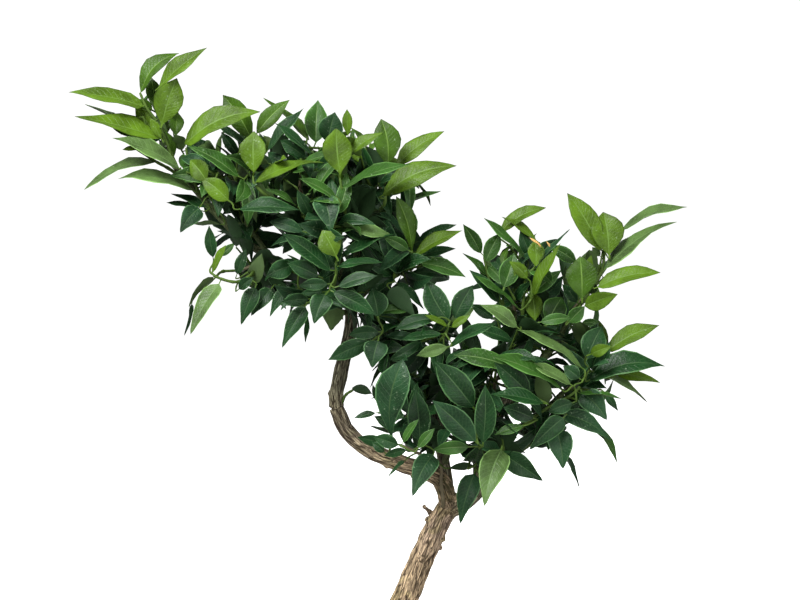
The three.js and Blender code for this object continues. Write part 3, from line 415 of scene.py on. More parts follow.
def picture_axes():
    """The eye, and the picture's directions into the scene, to its right and up."""
    tilt = math.radians(LOOK["tilt"])
    ahead = np.array([0, math.cos(tilt), -math.sin(tilt)])
    return np.array(LOOK["aim"]) - ahead * LOOK["distance"], ahead, np.array([1.0, 0, 0]), np.cross([1, 0, 0], ahead)


def from_picture(column, row, depth):
    """The place that a point of the picture shows, this deep behind the crown's middle."""
    eye, ahead, right, up = picture_axes()
    x, y = (column - LOOK["middle"][0]) * LOOK["pixel"], (LOOK["middle"][1] - row) * LOOK["pixel"]
    ray = ahead * LOOK["distance"] + right * x + up * y
    return eye + ray * (depth - eye[1]) / ray[1]


def in_picture(points):
    """The columns and rows of the picture where places show."""
    eye, ahead, right, up = picture_axes()
    offset = points - eye
    scale = LOOK["distance"] / LOOK["pixel"] / (offset @ ahead)
    return np.stack([LOOK["middle"][0] + offset @ right * scale, LOOK["middle"][1] - offset @ up * scale], axis=-1)


def apart_from_line(spots, start, end):
    """The distances of spots from a straight line between two places, flat or in space."""
    way = end - start
    share = np.clip(((spots - start) * way).sum(-1) / np.maximum((way * way).sum(-1), 1e-9), 0, 1)
    return np.linalg.norm(spots - start - way * share[..., None], axis=-1), share


def bent(start, start_way, end, end_way, steps=7):
    """Points of a curve that leaves one place and reaches another in these directions."""
    length = np.linalg.norm(end - start)
    p = [start, start + start_way * length / 3, end - end_way * length / 3, end]
    t = np.linspace(0, 1, steps)[:, None]
    return (1 - t) ** 3 * p[0] + 3 * (1 - t) ** 2 * t * p[1] + 3 * (1 - t) * t**2 * p[2] + t**3 * p[3]


def back_along(points, from_tip):
    """The place and direction at a distance from a twig's tip, or None past its root."""
    left = from_tip
    for a, b in zip(points[-2::-1], points[:0:-1]):
        length = np.linalg.norm(b - a)
        if left <= length:
            return b - unit(b - a) * left, unit(b - a)
        left -= length
    return None


def shoot_tips(mass, random):
    """Where the tips of a mass's shoots may stand: its leaders, then places in a golden spiral."""
    yield from (np.array(tip, float) for tip in mass["leaders"])
    phase = random() * 360
    for k in range(TWIG["places"]):
        angle = math.radians(phase + k * SPIRAL)
        height = random(*TWIG["heights"])
        flat = math.sqrt(1 - height * height)
        share = np.array([math.cos(angle) * flat, math.sin(angle) * flat, height])
        fill = 1 if k < TWIG["places"] / 2 else TWIG["inner_share"]
        reach = fill * np.maximum(TWIG["least_reach"], np.array(mass["radii"]) - TWIG["reach_inside"])
        yield np.array(mass["centre"]) + share * reach


def grow_twigs(index, mass, random):
    """A stem to the mass's heart, and a twig to each tip from the best place on what has grown."""
    path = grown_limbs()["branch_" + mass["name"]][0]
    root, way = path.at(1.0), path.along(1.0)
    centre = np.array(mass["centre"], float)
    stem = bent(root - way * TWIG["sunk"], way, (root + centre) / 2, unit(centre - root))
    twigs = [{"points": stem, "thick": TWIG["stem_radius"], "leaves": 0}]
    tips = []
    for tip in shoot_tips(mass, random):
        if len(tips) >= mass["shoots"] * (1 + TWIG["finer"]):
            break
        spacing = TWIG["spacing"] if len(tips) < mass["shoots"] else TWIG["finer_spacing"]
        if any(np.linalg.norm(other - tip) < spacing for other in tips):
            continue
        best = None
        for twig in twigs:
            for a, b in zip(twig["points"], twig["points"][1:]):
                line = tip - b
                length = np.linalg.norm(line)
                if length < TWIG["shortest"]:
                    continue
                cost = length * (TWIG["turning_cost"] - unit(line) @ unit(b - a))
                if best is None or cost < best[0]:
                    best = (cost, b, unit(b - a), unit(line))
        if best is None:
            continue
        _, start, along, line = best
        rise = TWIG["rise_with_lift"] * mass["lift"] + TWIG["rise"]
        points = bent(start, unit(along + line), tip, unit(line + UP * rise))
        if not room_in(index, points[1:], 1).all():
            continue
        twigs.append({"points": points, "thick": TWIG["shoot_radius"], "leaves": 8})
        tips.append(tip)
    return twigs


class Canopy:
    """The leaves that have grown, and whether another would pass through one of them."""

    SIZE = 3000

    def __init__(self):
        self.leaves = []
        self.flats = np.zeros((self.SIZE, 4, 3, 3))
        self.lines = np.zeros((self.SIZE, 6, 2, 3))
        self.middles = np.full((self.SIZE, 3), 1e6)
        self.spans = np.zeros(self.SIZE)

    @staticmethod
    def outline(leaf):
        """The five points that stand for a leaf: root, sides, midrib and tip."""
        length, width, along, upper = leaf["length"], leaf["width"], leaf["along"], leaf["upper"]
        bend = math.radians(leaf["bend"])
        middle, tip = (
            leaf["base"]
            + along * length * (math.sin(bend * s) / bend)
            - upper * length * ((1 - math.cos(bend * s)) / bend)
            for s in (0.45, 1)
        )
        side = np.cross(upper, along) * width / 2 * math.cos(math.radians(leaf["fold"]))
        raised = upper * width / 2 * math.sin(math.radians(leaf["fold"]))
        return leaf["base"], middle + side + raised, middle, middle - side + raised, tip

    @staticmethod
    def meets(lines, flats):
        """Whether any straight line passes through any triangle."""
        start, way = lines[:, None, 0], lines[:, None, 1] - lines[:, None, 0]
        a, e, f = flats[:, 0], flats[:, 1] - flats[:, 0], flats[:, 2] - flats[:, 0]
        p = np.cross(way, f)
        det = (p * e).sum(-1)
        det = np.where(np.abs(det) < 1e-9, 1e-9, det)
        u = ((start - a) * p).sum(-1) / det
        q = np.cross(start - a, e)
        v = (way * q).sum(-1) / det
        t = (f * q).sum(-1) / det
        return bool(((u > 0) & (v > 0) & (u + v < 1) & (t > 0) & (t < 1)).any())

    def add(self, leaf, force=False):
        """Takes a leaf unless it would cross another, and says whether it did."""
        root, left, top, right, tip = self.outline(leaf)
        flats = np.array([[root, left, top], [left, tip, top], [root, top, right], [top, tip, right]])
        lines = np.array([[root, left], [left, tip], [tip, right], [right, root], [root, top], [top, tip]])
        span = leaf["length"] * 0.55
        near = np.linalg.norm(self.middles - top, axis=1) < self.spans + span
        if not force and near.any():
            if self.meets(lines, self.flats[near].reshape(-1, 3, 3)):
                return False
            if self.meets(self.lines[near].reshape(-1, 2, 3), flats):
                return False
        n = len(self.leaves)
        self.flats[n], self.lines[n], self.middles[n], self.spans[n] = flats, lines, top, span
        self.leaves.append(leaf)
        return True


@lru_cache(maxsize=1)
def wood_places():
    """Places along every limb, with the radius there, that leaves keep clear of."""
    places, radii = [], []
    for path, (thick, thin) in grown_limbs().values():
        shares = np.linspace(0, 1, int(path.length / 3) + 2)
        places.append(path.at(shares))
        radii.append(thick + (thin - thick) * shares)
    return np.vstack(places), np.concatenate(radii)


def clear_of_limbs(points, margin):
    """Whether all points stand clear of every limb."""
    places, radii = wood_places()
    apart = np.linalg.norm(points[:, None] - places, axis=2)
    return bool((apart > radii + margin).all())


def led_leaf(row, random):
    """A leaf that the picture shows, turned until it shows this width of this side."""
    *spots, depth, deeper, seen, side, arch, tone = row[:10]
    bend = abs(arch)
    foot, tip = from_picture(*spots[:2], depth), from_picture(*spots[2:], depth + deeper)
    chord = np.linalg.norm(tip - foot)
    way, half_bend = (tip - foot) / chord, math.radians(bend) / 2
    length = chord * half_bend / math.sin(half_bend)
    seen *= LOOK["pixel"]
    width = max(LED_SLIMNESS * length, seen)
    roll = math.acos(min(1, seen / width))
    facing = squared_off(TOWARDS_VIEWER, way)
    lifted = np.cross(facing, way)
    inward = unit(np.array(LOOK["aim"]) - foot)
    lifted = lifted * (1 if lifted @ (UP + 0.4 * inward) > 0 else -1)
    upper = side * facing * math.cos(roll) + lifted * math.sin(roll)
    along = way * math.cos(half_bend) + upper * math.sin(half_bend)
    edge = np.cross(upper, way)
    taper = 0.66 if way[2] < -0.5 else 0.9 + (max(0, way[2] - 0.6) if tone in (LIME, GRASS) else 0.1)
    rises = math.copysign(1, edge @ (UP + 0.4 * unit(foot - np.array(LOOK["aim"]))) * arch)
    return {
        "base": foot, "along": along, "upper": squared_off(upper, along), "length": length, "width": width,
        "bend": bend, "fold": random(8, 22), "twist": random(-20, 20),
        "sweep": rises * SAGITTA * bend * math.cos(roll), "age": random(), "tone": tone,
        "taper": row[10] if len(row) > 10 else taper,
    }


def hang(leaves, wood, ways):
    """Joins each leaf to the nearest wood, the nearest first, by a twig where its stalk is too short."""
    waiting, twigs = list(leaves), []
    near = [(math.inf, 0)] * len(waiting)
    places, directions, fresh = list(wood), list(ways), 0
    while waiting:
        new = np.array(places[fresh:])
        for i, leaf in enumerate(waiting):
            if len(new):
                apart = np.linalg.norm(new - leaf["base"], axis=1)
                best = int(apart.argmin())
                if apart[best] < near[i][0]:
                    near[i] = (apart[best], fresh + best)
        fresh = len(places)
        i = min(range(len(waiting)), key=lambda n: near[n][0])
        leaf, (distance, place) = waiting.pop(i), near.pop(i)
        start, end = places[place], leaf["base"] - leaf["along"] * LED_STALK * 0.6
        if distance <= LED_STALK:
            leaf["root"] = start
            continue
        leaf["root"] = end
        line = unit(end - start)
        points = bent(start, unit(directions[place] + line), end, unit(leaf["along"] + 1.5 * line))
        thick = TWIG["tip_radius"] + 0.012 * distance
        twigs.append({"points": points, "thick": min(thick, TWIG["shoot_radius"]), "leaves": 0})
        steps = Path(points).at(np.linspace(0.25, 1, max(2, int(distance / 3))))
        places += list(steps)
        directions += [unit(points[-1] - points[-2])] * len(steps)
    return twigs


def grow_led(twigs, random):
    """The stems and leaves that the picture shows one by one."""
    limbs = grown_limbs()
    stems = []
    for limb, share, rows in STEMS:
        path = limbs[limb][0]
        points = Path([path.at(share), *(from_picture(*row) for row in rows)], 5).points
        stems.append({"points": points, "thick": TWIG["led_radius"], "leaves": 0})
        if limb == "trunk":
            stems[-1]["woody"] = True
    wood, ways = [], []
    for twig in twigs + stems:
        path = Path(twig["points"], 3)
        shares = np.linspace(0.1, 1, max(2, int(path.length / 3)))
        wood += list(path.at(shares))
        ways += list(path.along(shares))
    for path, _ in limbs.values():
        shares = np.linspace(0.2, 1, max(2, int(path.length / 3)))
        wood += list(path.at(shares))
        ways += list(path.along(shares))
    leaves = [led_leaf(row, random) for row in LED]
    return leaves, stems + hang(leaves, wood, ways)


class View:
    """What the picture shows, for the leaves that grow by the rule."""

    def __init__(self, led):
        self.feet = np.array([leaf["base"] for leaf in led])
        self.tips = np.array([Canopy.outline(leaf)[4] for leaf in led])
        self.widths = np.array([leaf["width"] for leaf in led]) / LOOK["pixel"] * 0.3
        self.flat_feet, self.flat_tips = in_picture(self.feet), in_picture(self.tips)

    def allows(self, points):
        """Whether a leaf's places lie where the picture shows leaves, and behind those it shows singly."""
        flat = in_picture(points)
        inside = np.linalg.norm(flat[:, None] - LEAFY[:, :2], axis=2) < LEAFY[:, 2] + EDGE
        if not inside.any(axis=1).all():
            return False
        apart, _ = apart_from_line(SKY[:, :2], flat[0], flat[-1])
        if (apart < SKY[:, 2] + np.linalg.norm(flat[1] - flat[3]) * 0.3).any():
            return False
        apart, share = apart_from_line(flat[:, None], self.flat_feet, self.flat_tips)
        depth = self.feet[:, 1] + (self.tips - self.feet)[:, 1] * share
        return bool(((apart > self.widths) | (points[:, None, 1] > depth + 3)).all())


def grow_leaves(index, mass, twig, canopy, view, random, settings):
    """The leaves of a shoot stand round its end in a golden spiral, steeper towards the tip."""
    turn = random() * 360
    centre = np.array(mass["centre"], float)
    for k in range(twig["leaves"]):
        turn += SPIRAL
        size = settings.leaf_length / MM * random(0.74, 1.12) * (0.8 if k == 0 else 1)
        lean = 26 + 44 * k / 7 + random(-8, 8)
        slimness = settings.slimness * random(0.86, 1.16)
        droop = mass["droop"] * random(0.5, 1.6) + 6
        roll, fold, twist, sweep = random(-24, 24), random(10, 28), random(-26, 26), random(-16, 16)
        place = back_along(twig["points"], 0.4 + k * settings.leaf_spacing / MM)
        if place is None:
            break
        root, axis = place
        level = unit(np.cross(ODD_WAY, axis))
        outward = unit(root - centre)
        age = random()
        for shrink, extra in ((s, t) for s in LEAF_SHRINKS for t in LEAF_TURNS):
            out = turned(level, axis, turn + extra)
            along = unit(out * math.sin(math.radians(lean)) + axis * math.cos(math.radians(lean))
                         + UP * TWIG["leaf_lift"] * mass["lift"])
            upper = squared_off(0.4 * axis + 0.5 * UP + 0.5 * outward, along)
            upper = turned(upper, along, roll)
            stalk = 3.2 * shrink
            leaf = {
                "root": root, "base": root + along * stalk, "along": along, "upper": upper,
                "length": size * shrink, "width": size * shrink * slimness, "bend": max(4, droop),
                "fold": fold, "twist": twist, "sweep": sweep, "order": k, "age": age, "mass": index,
                "taper": 0.78 + 0.4 * age,
            }
            points = np.array(canopy.outline(leaf)[1:])
            if not room_in(index, points, -5).all() or not clear_of_limbs(points, 1.0):
                continue
            if not view.allows(np.array(canopy.outline(leaf))):
                continue
            if canopy.add(leaf):
                break


def pruned(twigs, leaves):
    """The twigs without their bare ends, and without those that carry nothing at all."""
    roots = [leaf["root"] for leaf in leaves]
    cut = True
    while cut:
        cut, kept = False, []
        carried = np.array(roots + [twig["points"][0] for twig in twigs])
        for twig in twigs:
            points = twig["points"]
            steps = np.linalg.norm(np.diff(points, axis=0), axis=1)
            apart, share = apart_from_line(carried[:, None], points[:-1], points[1:])
            runs = np.concatenate([[0], steps.cumsum()[:-1]]) + share * steps
            bearing = np.where(apart < TWIG["bearing"], runs, 0).max()
            if bearing < 1:
                cut = True
                continue
            if bearing < steps.sum() - TWIG["longest_bare"]:
                cut = True
                path = Path(points, 2)
                points = path.at(np.linspace(0, (bearing + 1) / steps.sum(), len(points)))
            kept.append({**twig, "points": points})
        twigs = kept
    return twigs


@lru_cache(maxsize=1)
def grown_crown():
    """All twigs and leaves of the crown."""
    settings = bpy.context.scene.bonsai_leaves
    canopy = Canopy()
    randoms = [seeded(mass["seed"]) for mass in MASSES]
    grown = [grow_twigs(index, mass, randoms[index]) for index, mass in enumerate(MASSES)]
    led, led_twigs = grow_led(sum(grown, []), seeded(1128))
    for leaf in led:
        canopy.add(leaf, force=True)
    view = View(led)
    for index, (mass, own) in enumerate(zip(MASSES, grown)):
        for twig in own:
            if twig["leaves"]:
                grow_leaves(index, mass, twig, canopy, view, randoms[index], settings)
    return canopy.leaves, pruned(sum(grown, led_twigs), canopy.leaves)


class Wire:
    """A value in a material's nodes, with the operators of Python for its maths."""

    def __init__(self, shader, socket):
        self.shader, self.socket = shader, socket

    def _maths(self, operation, *values):
        return self.shader.node("ShaderNodeMath", {"operation": operation}, dict(enumerate(values)))

    def __add__(self, other):
        return self._maths("ADD", self, other)

    def __sub__(self, other):
        return self._maths("SUBTRACT", self, other)

    def __rsub__(self, other):
        return self._maths("SUBTRACT", other, self)

    def __mul__(self, other):
        return self._maths("MULTIPLY", self, other)

    def __truediv__(self, other):
        return self._maths("DIVIDE", self, other)

    def __pow__(self, other):
        return self._maths("POWER", self, other)

    __radd__, __rmul__ = __add__, __mul__

    def ramp(self, low, high, to_low=0.0, to_high=1.0):
        """This value brought from one range to another, and held at the ends."""
        values = {"Value": self, "From Min": low, "From Max": high, "To Min": to_low, "To Max": to_high}
        return self.shader.node("ShaderNodeMapRange", {"clamp": True}, values)


class Shader:
    """A material's node tree, built by calls."""

    def __init__(self, name):
        self.material = bpy.data.materials.new(name)
        self.material.use_nodes = True
        self.tree = self.material.node_tree
        self.bsdf = self.tree.nodes["Principled BSDF"]
        self.coords = self.node("ShaderNodeTexCoord", output="Object")

    def feed(self, node, inputs):
        """Sets or links the sockets of a node."""
        for key, value in inputs.items():
            if isinstance(value, Wire):
                self.tree.links.new(value.socket, node.inputs[key])
            elif isinstance(value, tuple) and len(value) == 3 and node.inputs[key].type == "RGBA":
                node.inputs[key].default_value = (*value, 1.0)
            else:
                node.inputs[key].default_value = value

    def node(self, kind, settings=None, inputs=None, output=0):
        """A node of any type, with its settings made first."""
        made = self.tree.nodes.new(kind)
        for key, value in (settings or {}).items():
            setattr(made, key, value)
        self.feed(made, inputs or {})
        return Wire(self, made.outputs[output])

    def blend(self, factor, low, high):
        """A colour between two others."""
        return self.node(
            "ShaderNodeMix", {"data_type": "RGBA"}, {"Factor": factor, 6: low, 7: high}, output=2
        )

    def stretched(self, vector, scale):
        """A vector with each part scaled."""
        values = {"Vector": vector, "Scale": scale}
        return self.node("ShaderNodeMapping", {"vector_type": "POINT"}, values)

    def noise(self, scale, detail=3.0, roughness=0.55, vector=None):
        """Soft noise from 0 to 1."""
        values = {"Vector": vector or self.coords, "Scale": scale, "Detail": detail, "Roughness": roughness}
        return self.node("ShaderNodeTexNoise", None, values)

    def cells(self, scale, feature="F1", vector=None, output="Distance"):
        """The distance to the nearest of scattered points, or to a cell's edge."""
        values = {"Vector": vector or self.coords, "Scale": scale}
        return self.node("ShaderNodeTexVoronoi", {"feature": feature}, values, output)

    def bump(self, height, strength, distance):
        """A normal from a height."""
        values = {"Height": height, "Strength": strength, "Distance": distance}
        return self.node("ShaderNodeBump", None, values)

    def finish(self, **inputs):
        """Feeds the surface's own sockets, named with _ for a space, and gives the material."""
        self.feed(self.bsdf, {key.replace("_", " ").title().replace("Ior", "IOR"): value
                              for key, value in inputs.items()})
        return self.material


def shade(colour, by):
    """A colour made lighter or darker."""
    return tuple(min(1.0, c * by) for c in colour)


def blade_material(name, colour, fresh, settings):
    """The upper side of a blade: patches, veins, whitish flecks that are partly dried water spots and partly painted
    glints, a fresh one's dark rim and tip, and an old one's painted highlight along its rim.
    """
    s = Shader(name)
    pale = pale_of(colour)
    tone = s.blend(s.noise(70.0, 4.0).ramp(0.36, 0.66), shade(colour, 0.6), shade(colour, 1.35))
    place = s.node("ShaderNodeSeparateXYZ", None, {0: s.node("ShaderNodeUVMap", {"uv_map": "leaf"})})
    forward = Wire(s, place.socket.node.outputs[1])
    away = s.node("ShaderNodeMath", {"operation": "ABSOLUTE"}, {0: place - 0.5})
    lines = s.node("ShaderNodeMath", {"operation": "SINE"}, {0: (forward * 13.0 - away * 5.0) * 6.2832})
    lines = lines.ramp(0.75, 1.0)
    tone = s.blend(lines * 0.22, tone, shade(pale, 1.2))
    net = s.cells(480.0, "DISTANCE_TO_EDGE").ramp(0.14, 0.02)
    tone = s.blend(net * 0.14, tone, shade(pale, 1.2))
    # dried water spots and painted glints: small whitish flecks mixed into the blade's colour
    specks = s.noise(560.0, 2.0).ramp(0.65, 0.71) * s.noise(60.0, 2.0).ramp(0.5, 0.6)
    tone = s.blend(specks * 0.4, tone, (0.3, 0.4, 0.25))
    if fresh:
        tone = s.blend(away.ramp(0.455, 0.48) * 0.6, tone, shade(colour, 0.4))
        tone = s.blend(forward.ramp(0.955, 0.985) * 0.8, tone, (0.03, 0.022, 0.02))
    else:
        # painted highlight: a thin bright line along an old leaf's edge, where its sheen would catch the light
        tone = s.blend(away.ramp(0.44, 0.475) * 0.75, tone, shade(pale, 2.3))
    height = s.noise(240.0, 3.0) * 0.9 - lines * 0.4 - net * 0.15
    return s.finish(
        base_color=tone,
        roughness=s.noise(90.0, 2.0).ramp(0.3, 0.7, settings.gloss_low, settings.gloss_high),
        normal=s.bump(height, 0.36, 0.001),
        specular_ior_level=settings.sheen * (0.75 if fresh else 1),
    )


def pale_of(colour):
    """The colour of the ribs and veins."""
    r, g, b = colour
    return r * 1.1 + 0.03, g * 1.1 + 0.045, b * 1.1 + 0.02


def plain_material(name, colour, roughness, sheen=0.2):
    """A soft tone with no pattern of its own."""
    s = Shader(name)
    tone = s.blend(s.noise(200.0), shade(colour, 0.82), shade(colour, 1.15))
    normal = s.bump(s.noise(400.0), 0.3, 0.0006)
    return s.finish(base_color=tone, roughness=roughness, normal=normal, specular_ior_level=sheen)


def leaf_materials(name, colours, fresh, settings):
    """The blades of each tone, then the underside, the rib and the stalk."""
    r, g, b = colours[0]
    under = (r * 0.7 + 0.016, g * 0.7 + 0.026, b * 0.6 + 0.012)
    stalk = (r * 0.5 + 0.05, g * 0.5 + 0.09, b * 0.5 + 0.01)
    return [
        *(blade_material(f"{name}_{k}", colour, fresh, settings) for k, colour in enumerate(colours)),
        plain_material(f"{name}_under", under, 0.6),
        plain_material(f"{name}_rib", pale_of(colours[0]), 0.45),
        plain_material(f"{name}_stalk", stalk, 0.5),
    ]


# The stations of a leaf: share of the blade's length, and half width there as a share of its widest.
STATIONS = ((0.0, 0.07), (0.07, 0.4), (0.19, 0.77), (0.34, 0.97), (0.5, 0.99), (0.66, 0.83), (0.8, 0.51), (0.92, 0.18))
COLUMNS = (-1.0, -0.55, -0.045, 0.045, 0.55, 1.0)
BLADE, UNDER, RIB, STALK = range(4)


def leaf_pattern():
    """The faces of one leaf, as vertex numbers, with the material of each."""
    rows, columns = len(STATIONS) + 1, len(COLUMNS)
    grid = np.arange(rows * columns).reshape(rows, columns)
    keel = rows * columns + np.arange(rows)
    tip = keel[-1] + 1
    faces, kinds = [], []
    for r in range(rows - 1):
        for c in range(columns - 1):
            faces.append([grid[r, c], grid[r + 1, c], grid[r + 1, c + 1], grid[r, c + 1]])
            kinds.append(STALK if r == 0 else RIB if c == columns // 2 - 1 else BLADE)
        faces.append([grid[r, 0], keel[r], keel[r + 1], grid[r + 1, 0]])
        faces.append([keel[r], grid[r, -1], grid[r + 1, -1], keel[r + 1]])
        kinds += [STALK if r == 0 else UNDER] * 2
    for c in range(columns - 1):
        faces.append([grid[-1, c], tip, grid[-1, c + 1]])
        kinds.append(RIB if c == columns // 2 - 1 else BLADE)
    faces += [[grid[-1, 0], keel[-1], tip], [keel[-1], grid[-1, -1], tip]]
    kinds += [UNDER, UNDER]
    faces.append([*grid[0], keel[0]])
    kinds.append(STALK)
    return faces, kinds, tip + 1


def leaf_vertices(leaves):
    """The vertices of all leaves at once, in millimetres, and their places on the leaf."""
    def column(key):
        return np.array([leaf[key] for leaf in leaves], float)

    n = len(leaves)
    base, along, upper, root = (column(key)[:, None] for key in ("base", "along", "upper", "root"))
    length, width = column("length"), column("width")
    bend, fold, twist, sweep = (np.radians(column(key)) for key in ("bend", "fold", "twist", "sweep"))
    phase = column("age") * 40
    stalk = np.linalg.norm(base - root, axis=2)[:, 0]
    place = np.array([s for s, _ in STATIONS])
    shape = np.interp(place ** column("taper")[:, None], place, [w for _, w in STATIONS])
    s = np.concatenate([-(stalk / length)[:, None], np.tile(place, (n, 1)), np.ones((n, 1))], axis=1)
    half = np.concatenate([0.8 / width[:, None], shape, np.zeros((n, 1))], axis=1)
    half = half * (width / 2)[:, None]
    blade = np.maximum(s, 0)
    turn = bend[:, None] * blade**1.3
    # the centre line, by small steps of its turning
    step = np.diff(s, axis=1, prepend=s[:, :1])
    middle = (turn + np.roll(turn, 1, axis=1)) / 2
    middle[:, 0] = 0
    forward = (np.cos(middle) * step).cumsum(axis=1) * length[:, None] - stalk[:, None]
    down = (np.sin(middle) * step).cumsum(axis=1) * length[:, None]
    centre = base + along * forward[..., None] - upper * down[..., None]
    centre[:, 0] = root[:, 0]
    normal = upper * np.cos(turn)[..., None] + along * np.sin(turn)[..., None]
    way = along * np.cos(turn)[..., None] - upper * np.sin(turn)[..., None]
    side = np.cross(normal, way)
    aside = (np.sin(np.pi * blade) * sweep[:, None] * length[:, None] / np.pi)[..., None]
    centre = centre + side * aside
    roll = (twist[:, None] * blade)[..., None]
    side, normal = side * np.cos(roll) + normal * np.sin(roll), normal * np.cos(roll) - side * np.sin(roll)
    u = np.array(COLUMNS)
    open_up = np.clip(blade * 4, 0, 1) * (1 - 0.35 * blade)
    flat = (fold[:, None] * open_up)[..., None]
    out = u * np.cos(flat)
    rise = np.abs(u) * np.sin(flat) + 0.16 * np.sin(np.pi * np.abs(u)) * np.clip(blade * 5, 0, 1)[..., None]
    wave = np.sin(blade[..., None] * 7 + phase[:, None, None] + 2.1 * np.sign(u)) * 0.18 * u**4
    rise = rise + wave * np.clip(blade * 3, 0, 1)[..., None]
    grid = centre[:, :, None] + half[:, :, None, None] * (
        side[:, :, None] * out[..., None] + normal[:, :, None] * rise[..., None]
    )
    thick = np.where(s < 0, 0.7, 0.42) * np.where(s >= 1, 0, 1)
    keel = centre - normal * thick[..., None]
    rows = len(STATIONS) + 1
    vertices = np.concatenate(
        [grid[:, :rows].reshape(n, -1, 3), keel[:, :rows], centre[:, -1:]], axis=1
    )
    forward_uv = np.clip(s, 0, 1)
    uv_grid = np.stack(np.broadcast_arrays(u / 2 + 0.5, forward_uv[:, :rows, None]), axis=-1)
    uv_keel = np.stack([np.full((n, rows), 0.5), forward_uv[:, :rows]], axis=-1)
    uv = np.concatenate([uv_grid.reshape(n, -1, 2), uv_keel, np.tile([[[0.5, 1.0]]], (n, 1, 1))], axis=1)
    return vertices, uv


def mesh_piece(name, vertices, faces, materials, kinds=None, uv=None):
    """A piece at the origin from arrays in millimetres."""
    mesh = bpy.data.meshes.new(name)
    mesh.from_pydata((np.asarray(vertices) * MM).tolist(), [], faces)
    for material in materials:
        mesh.materials.append(material)
    if kinds is not None:
        mesh.polygons.foreach_set("material_index", np.asarray(kinds, np.int32))
    if uv is not None:
        layer = mesh.uv_layers.new(name="leaf")
        corners = np.zeros(len(mesh.loops), np.int32)
        mesh.loops.foreach_get("vertex_index", corners)
        layer.data.foreach_set("uv", np.asarray(uv, np.float32)[corners].ravel())
    mesh.update()
    piece = bpy.data.objects.new(name, mesh)
    bpy.context.scene.collection.objects.link(piece)
    return piece


def take(piece):
    """Makes a piece the only one selected, and the active one."""
    bpy.ops.object.select_all(action="DESELECT")
    piece.select_set(True)
    bpy.context.view_layer.objects.active = piece


def declare(piece, slot, *nodes):
    """The piece rides with the plant and stands for these solids, which it hides; slot is not used."""
    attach(piece, "root")
    if nodes:
        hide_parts(*nodes)


AGES = ("young", "mixed", "old")
TONE_NAMES = ("lime", "grass", "pale", "mid", "deep", "blue", "dry")
TONE_AGES = {LIME: "young", GRASS: "young", PALE: "mixed", MID: "mixed", DEEP: "old", BLUE: "old", DRY: "young"}


def tone_of(leaf, random):
    """The tone of a leaf: young ones crown the shoots, old ones fill the inside."""
    if "tone" in leaf:
        return leaf["tone"]
    mass = MASSES[leaf["mass"]]
    offset = (leaf["base"] - np.array(mass["centre"])) / np.array(mass["radii"])
    fresh = 0.8 * mass["young"] + 0.4 * offset[2] - 0.08 * leaf["order"] + random(-0.3, 0.3)
    pair = (LIME, GRASS) if fresh > 0.62 else (PALE, MID) if fresh > 0.3 else (DEEP, BLUE)
    return pair[0] if random() < (0.2 if pair[0] == PALE else 0.55) else pair[1]


class LeafSettings(bpy.types.PropertyGroup):
    """Sizes and colours of the leaves."""

    leaf_length: FloatProperty(name="Leaf length", description="Of a full-grown one", default=0.035, unit="LENGTH")
    slimness: FloatProperty(name="Slimness", description="Width over length", default=0.36)
    leaf_spacing: FloatProperty(name="Leaf spacing", description="Along a shoot", default=0.0052, unit="LENGTH")
    gloss_low: FloatProperty(name="Roughness from", description="Of the upper side", default=0.3)
    gloss_high: FloatProperty(name="Roughness to", description="Of the upper side", default=0.46)
    sheen: FloatProperty(name="Sheen", description="Of the upper side", default=0.18)
    lime: FloatVectorProperty(
        name="Newest", description="Colour of the newest leaves", default=(0.062, 0.122, 0.006), subtype="COLOR"
    )
    grass: FloatVectorProperty(
        name="Young", description="Colour of young leaves", default=(0.033, 0.08, 0.004), subtype="COLOR"
    )
    pale: FloatVectorProperty(
        name="Pale", description="Colour of dull leaves", default=(0.064, 0.118, 0.03), subtype="COLOR"
    )
    mid: FloatVectorProperty(
        name="Half grown", description="Colour of this year's leaves", default=(0.022, 0.07, 0.008), subtype="COLOR"
    )
    deep: FloatVectorProperty(
        name="Old", description="Colour of last year's leaves", default=(0.006, 0.034, 0.007), subtype="COLOR"
    )
    blue: FloatVectorProperty(
        name="Oldest", description="Colour of bluish old leaves", default=(0.011, 0.042, 0.014), subtype="COLOR"
    )
    dry: FloatVectorProperty(
        name="Withered", description="Colour of a withered edge", default=(0.6, 0.36, 0.12), subtype="COLOR"
    )


class BarkSettings(bpy.types.PropertyGroup):
    """Relief and colours of the bark."""

    voxel: FloatProperty(name="Detail", description="Size of the bark's faces", default=0.00055, unit="LENGTH")
    depth: FloatProperty(name="Furrow depth", description="Of the longest furrows", default=0.0008, unit="LENGTH")
    ridge: FloatVectorProperty(
        name="Ridges", description="Colour of the ridges", default=(0.84, 0.6, 0.37), subtype="COLOR"
    )
    furrow: FloatVectorProperty(
        name="Furrows", description="Colour in the furrows", default=(0.03, 0.018, 0.009), subtype="COLOR"
    )
    # painted shade: the dark colour laid on the wood in the fork, where the boughs shade it
    fork_shade: FloatVectorProperty(
        name="Moss", description="Colour of the mossy wood in the fork", default=(0.06, 0.06, 0.02), subtype="COLOR"
    )
    green: FloatVectorProperty(
        name="Green wood", description="Colour of the young wood", default=(0.09, 0.14, 0.04), subtype="COLOR"
    )


class PotSettings(bpy.types.PropertyGroup):
    """Colours of the pot and the soil."""

    clay: FloatVectorProperty(
        name="Clay", description="Colour of the pot", default=(0.15, 0.07, 0.042), subtype="COLOR"
    )
    soil: FloatVectorProperty(
        name="Soil", description="Colour of the soil", default=(0.07, 0.045, 0.028), subtype="COLOR"
    )
    grains: IntProperty(name="Grains", description="Number of grains on the soil", default=1700)


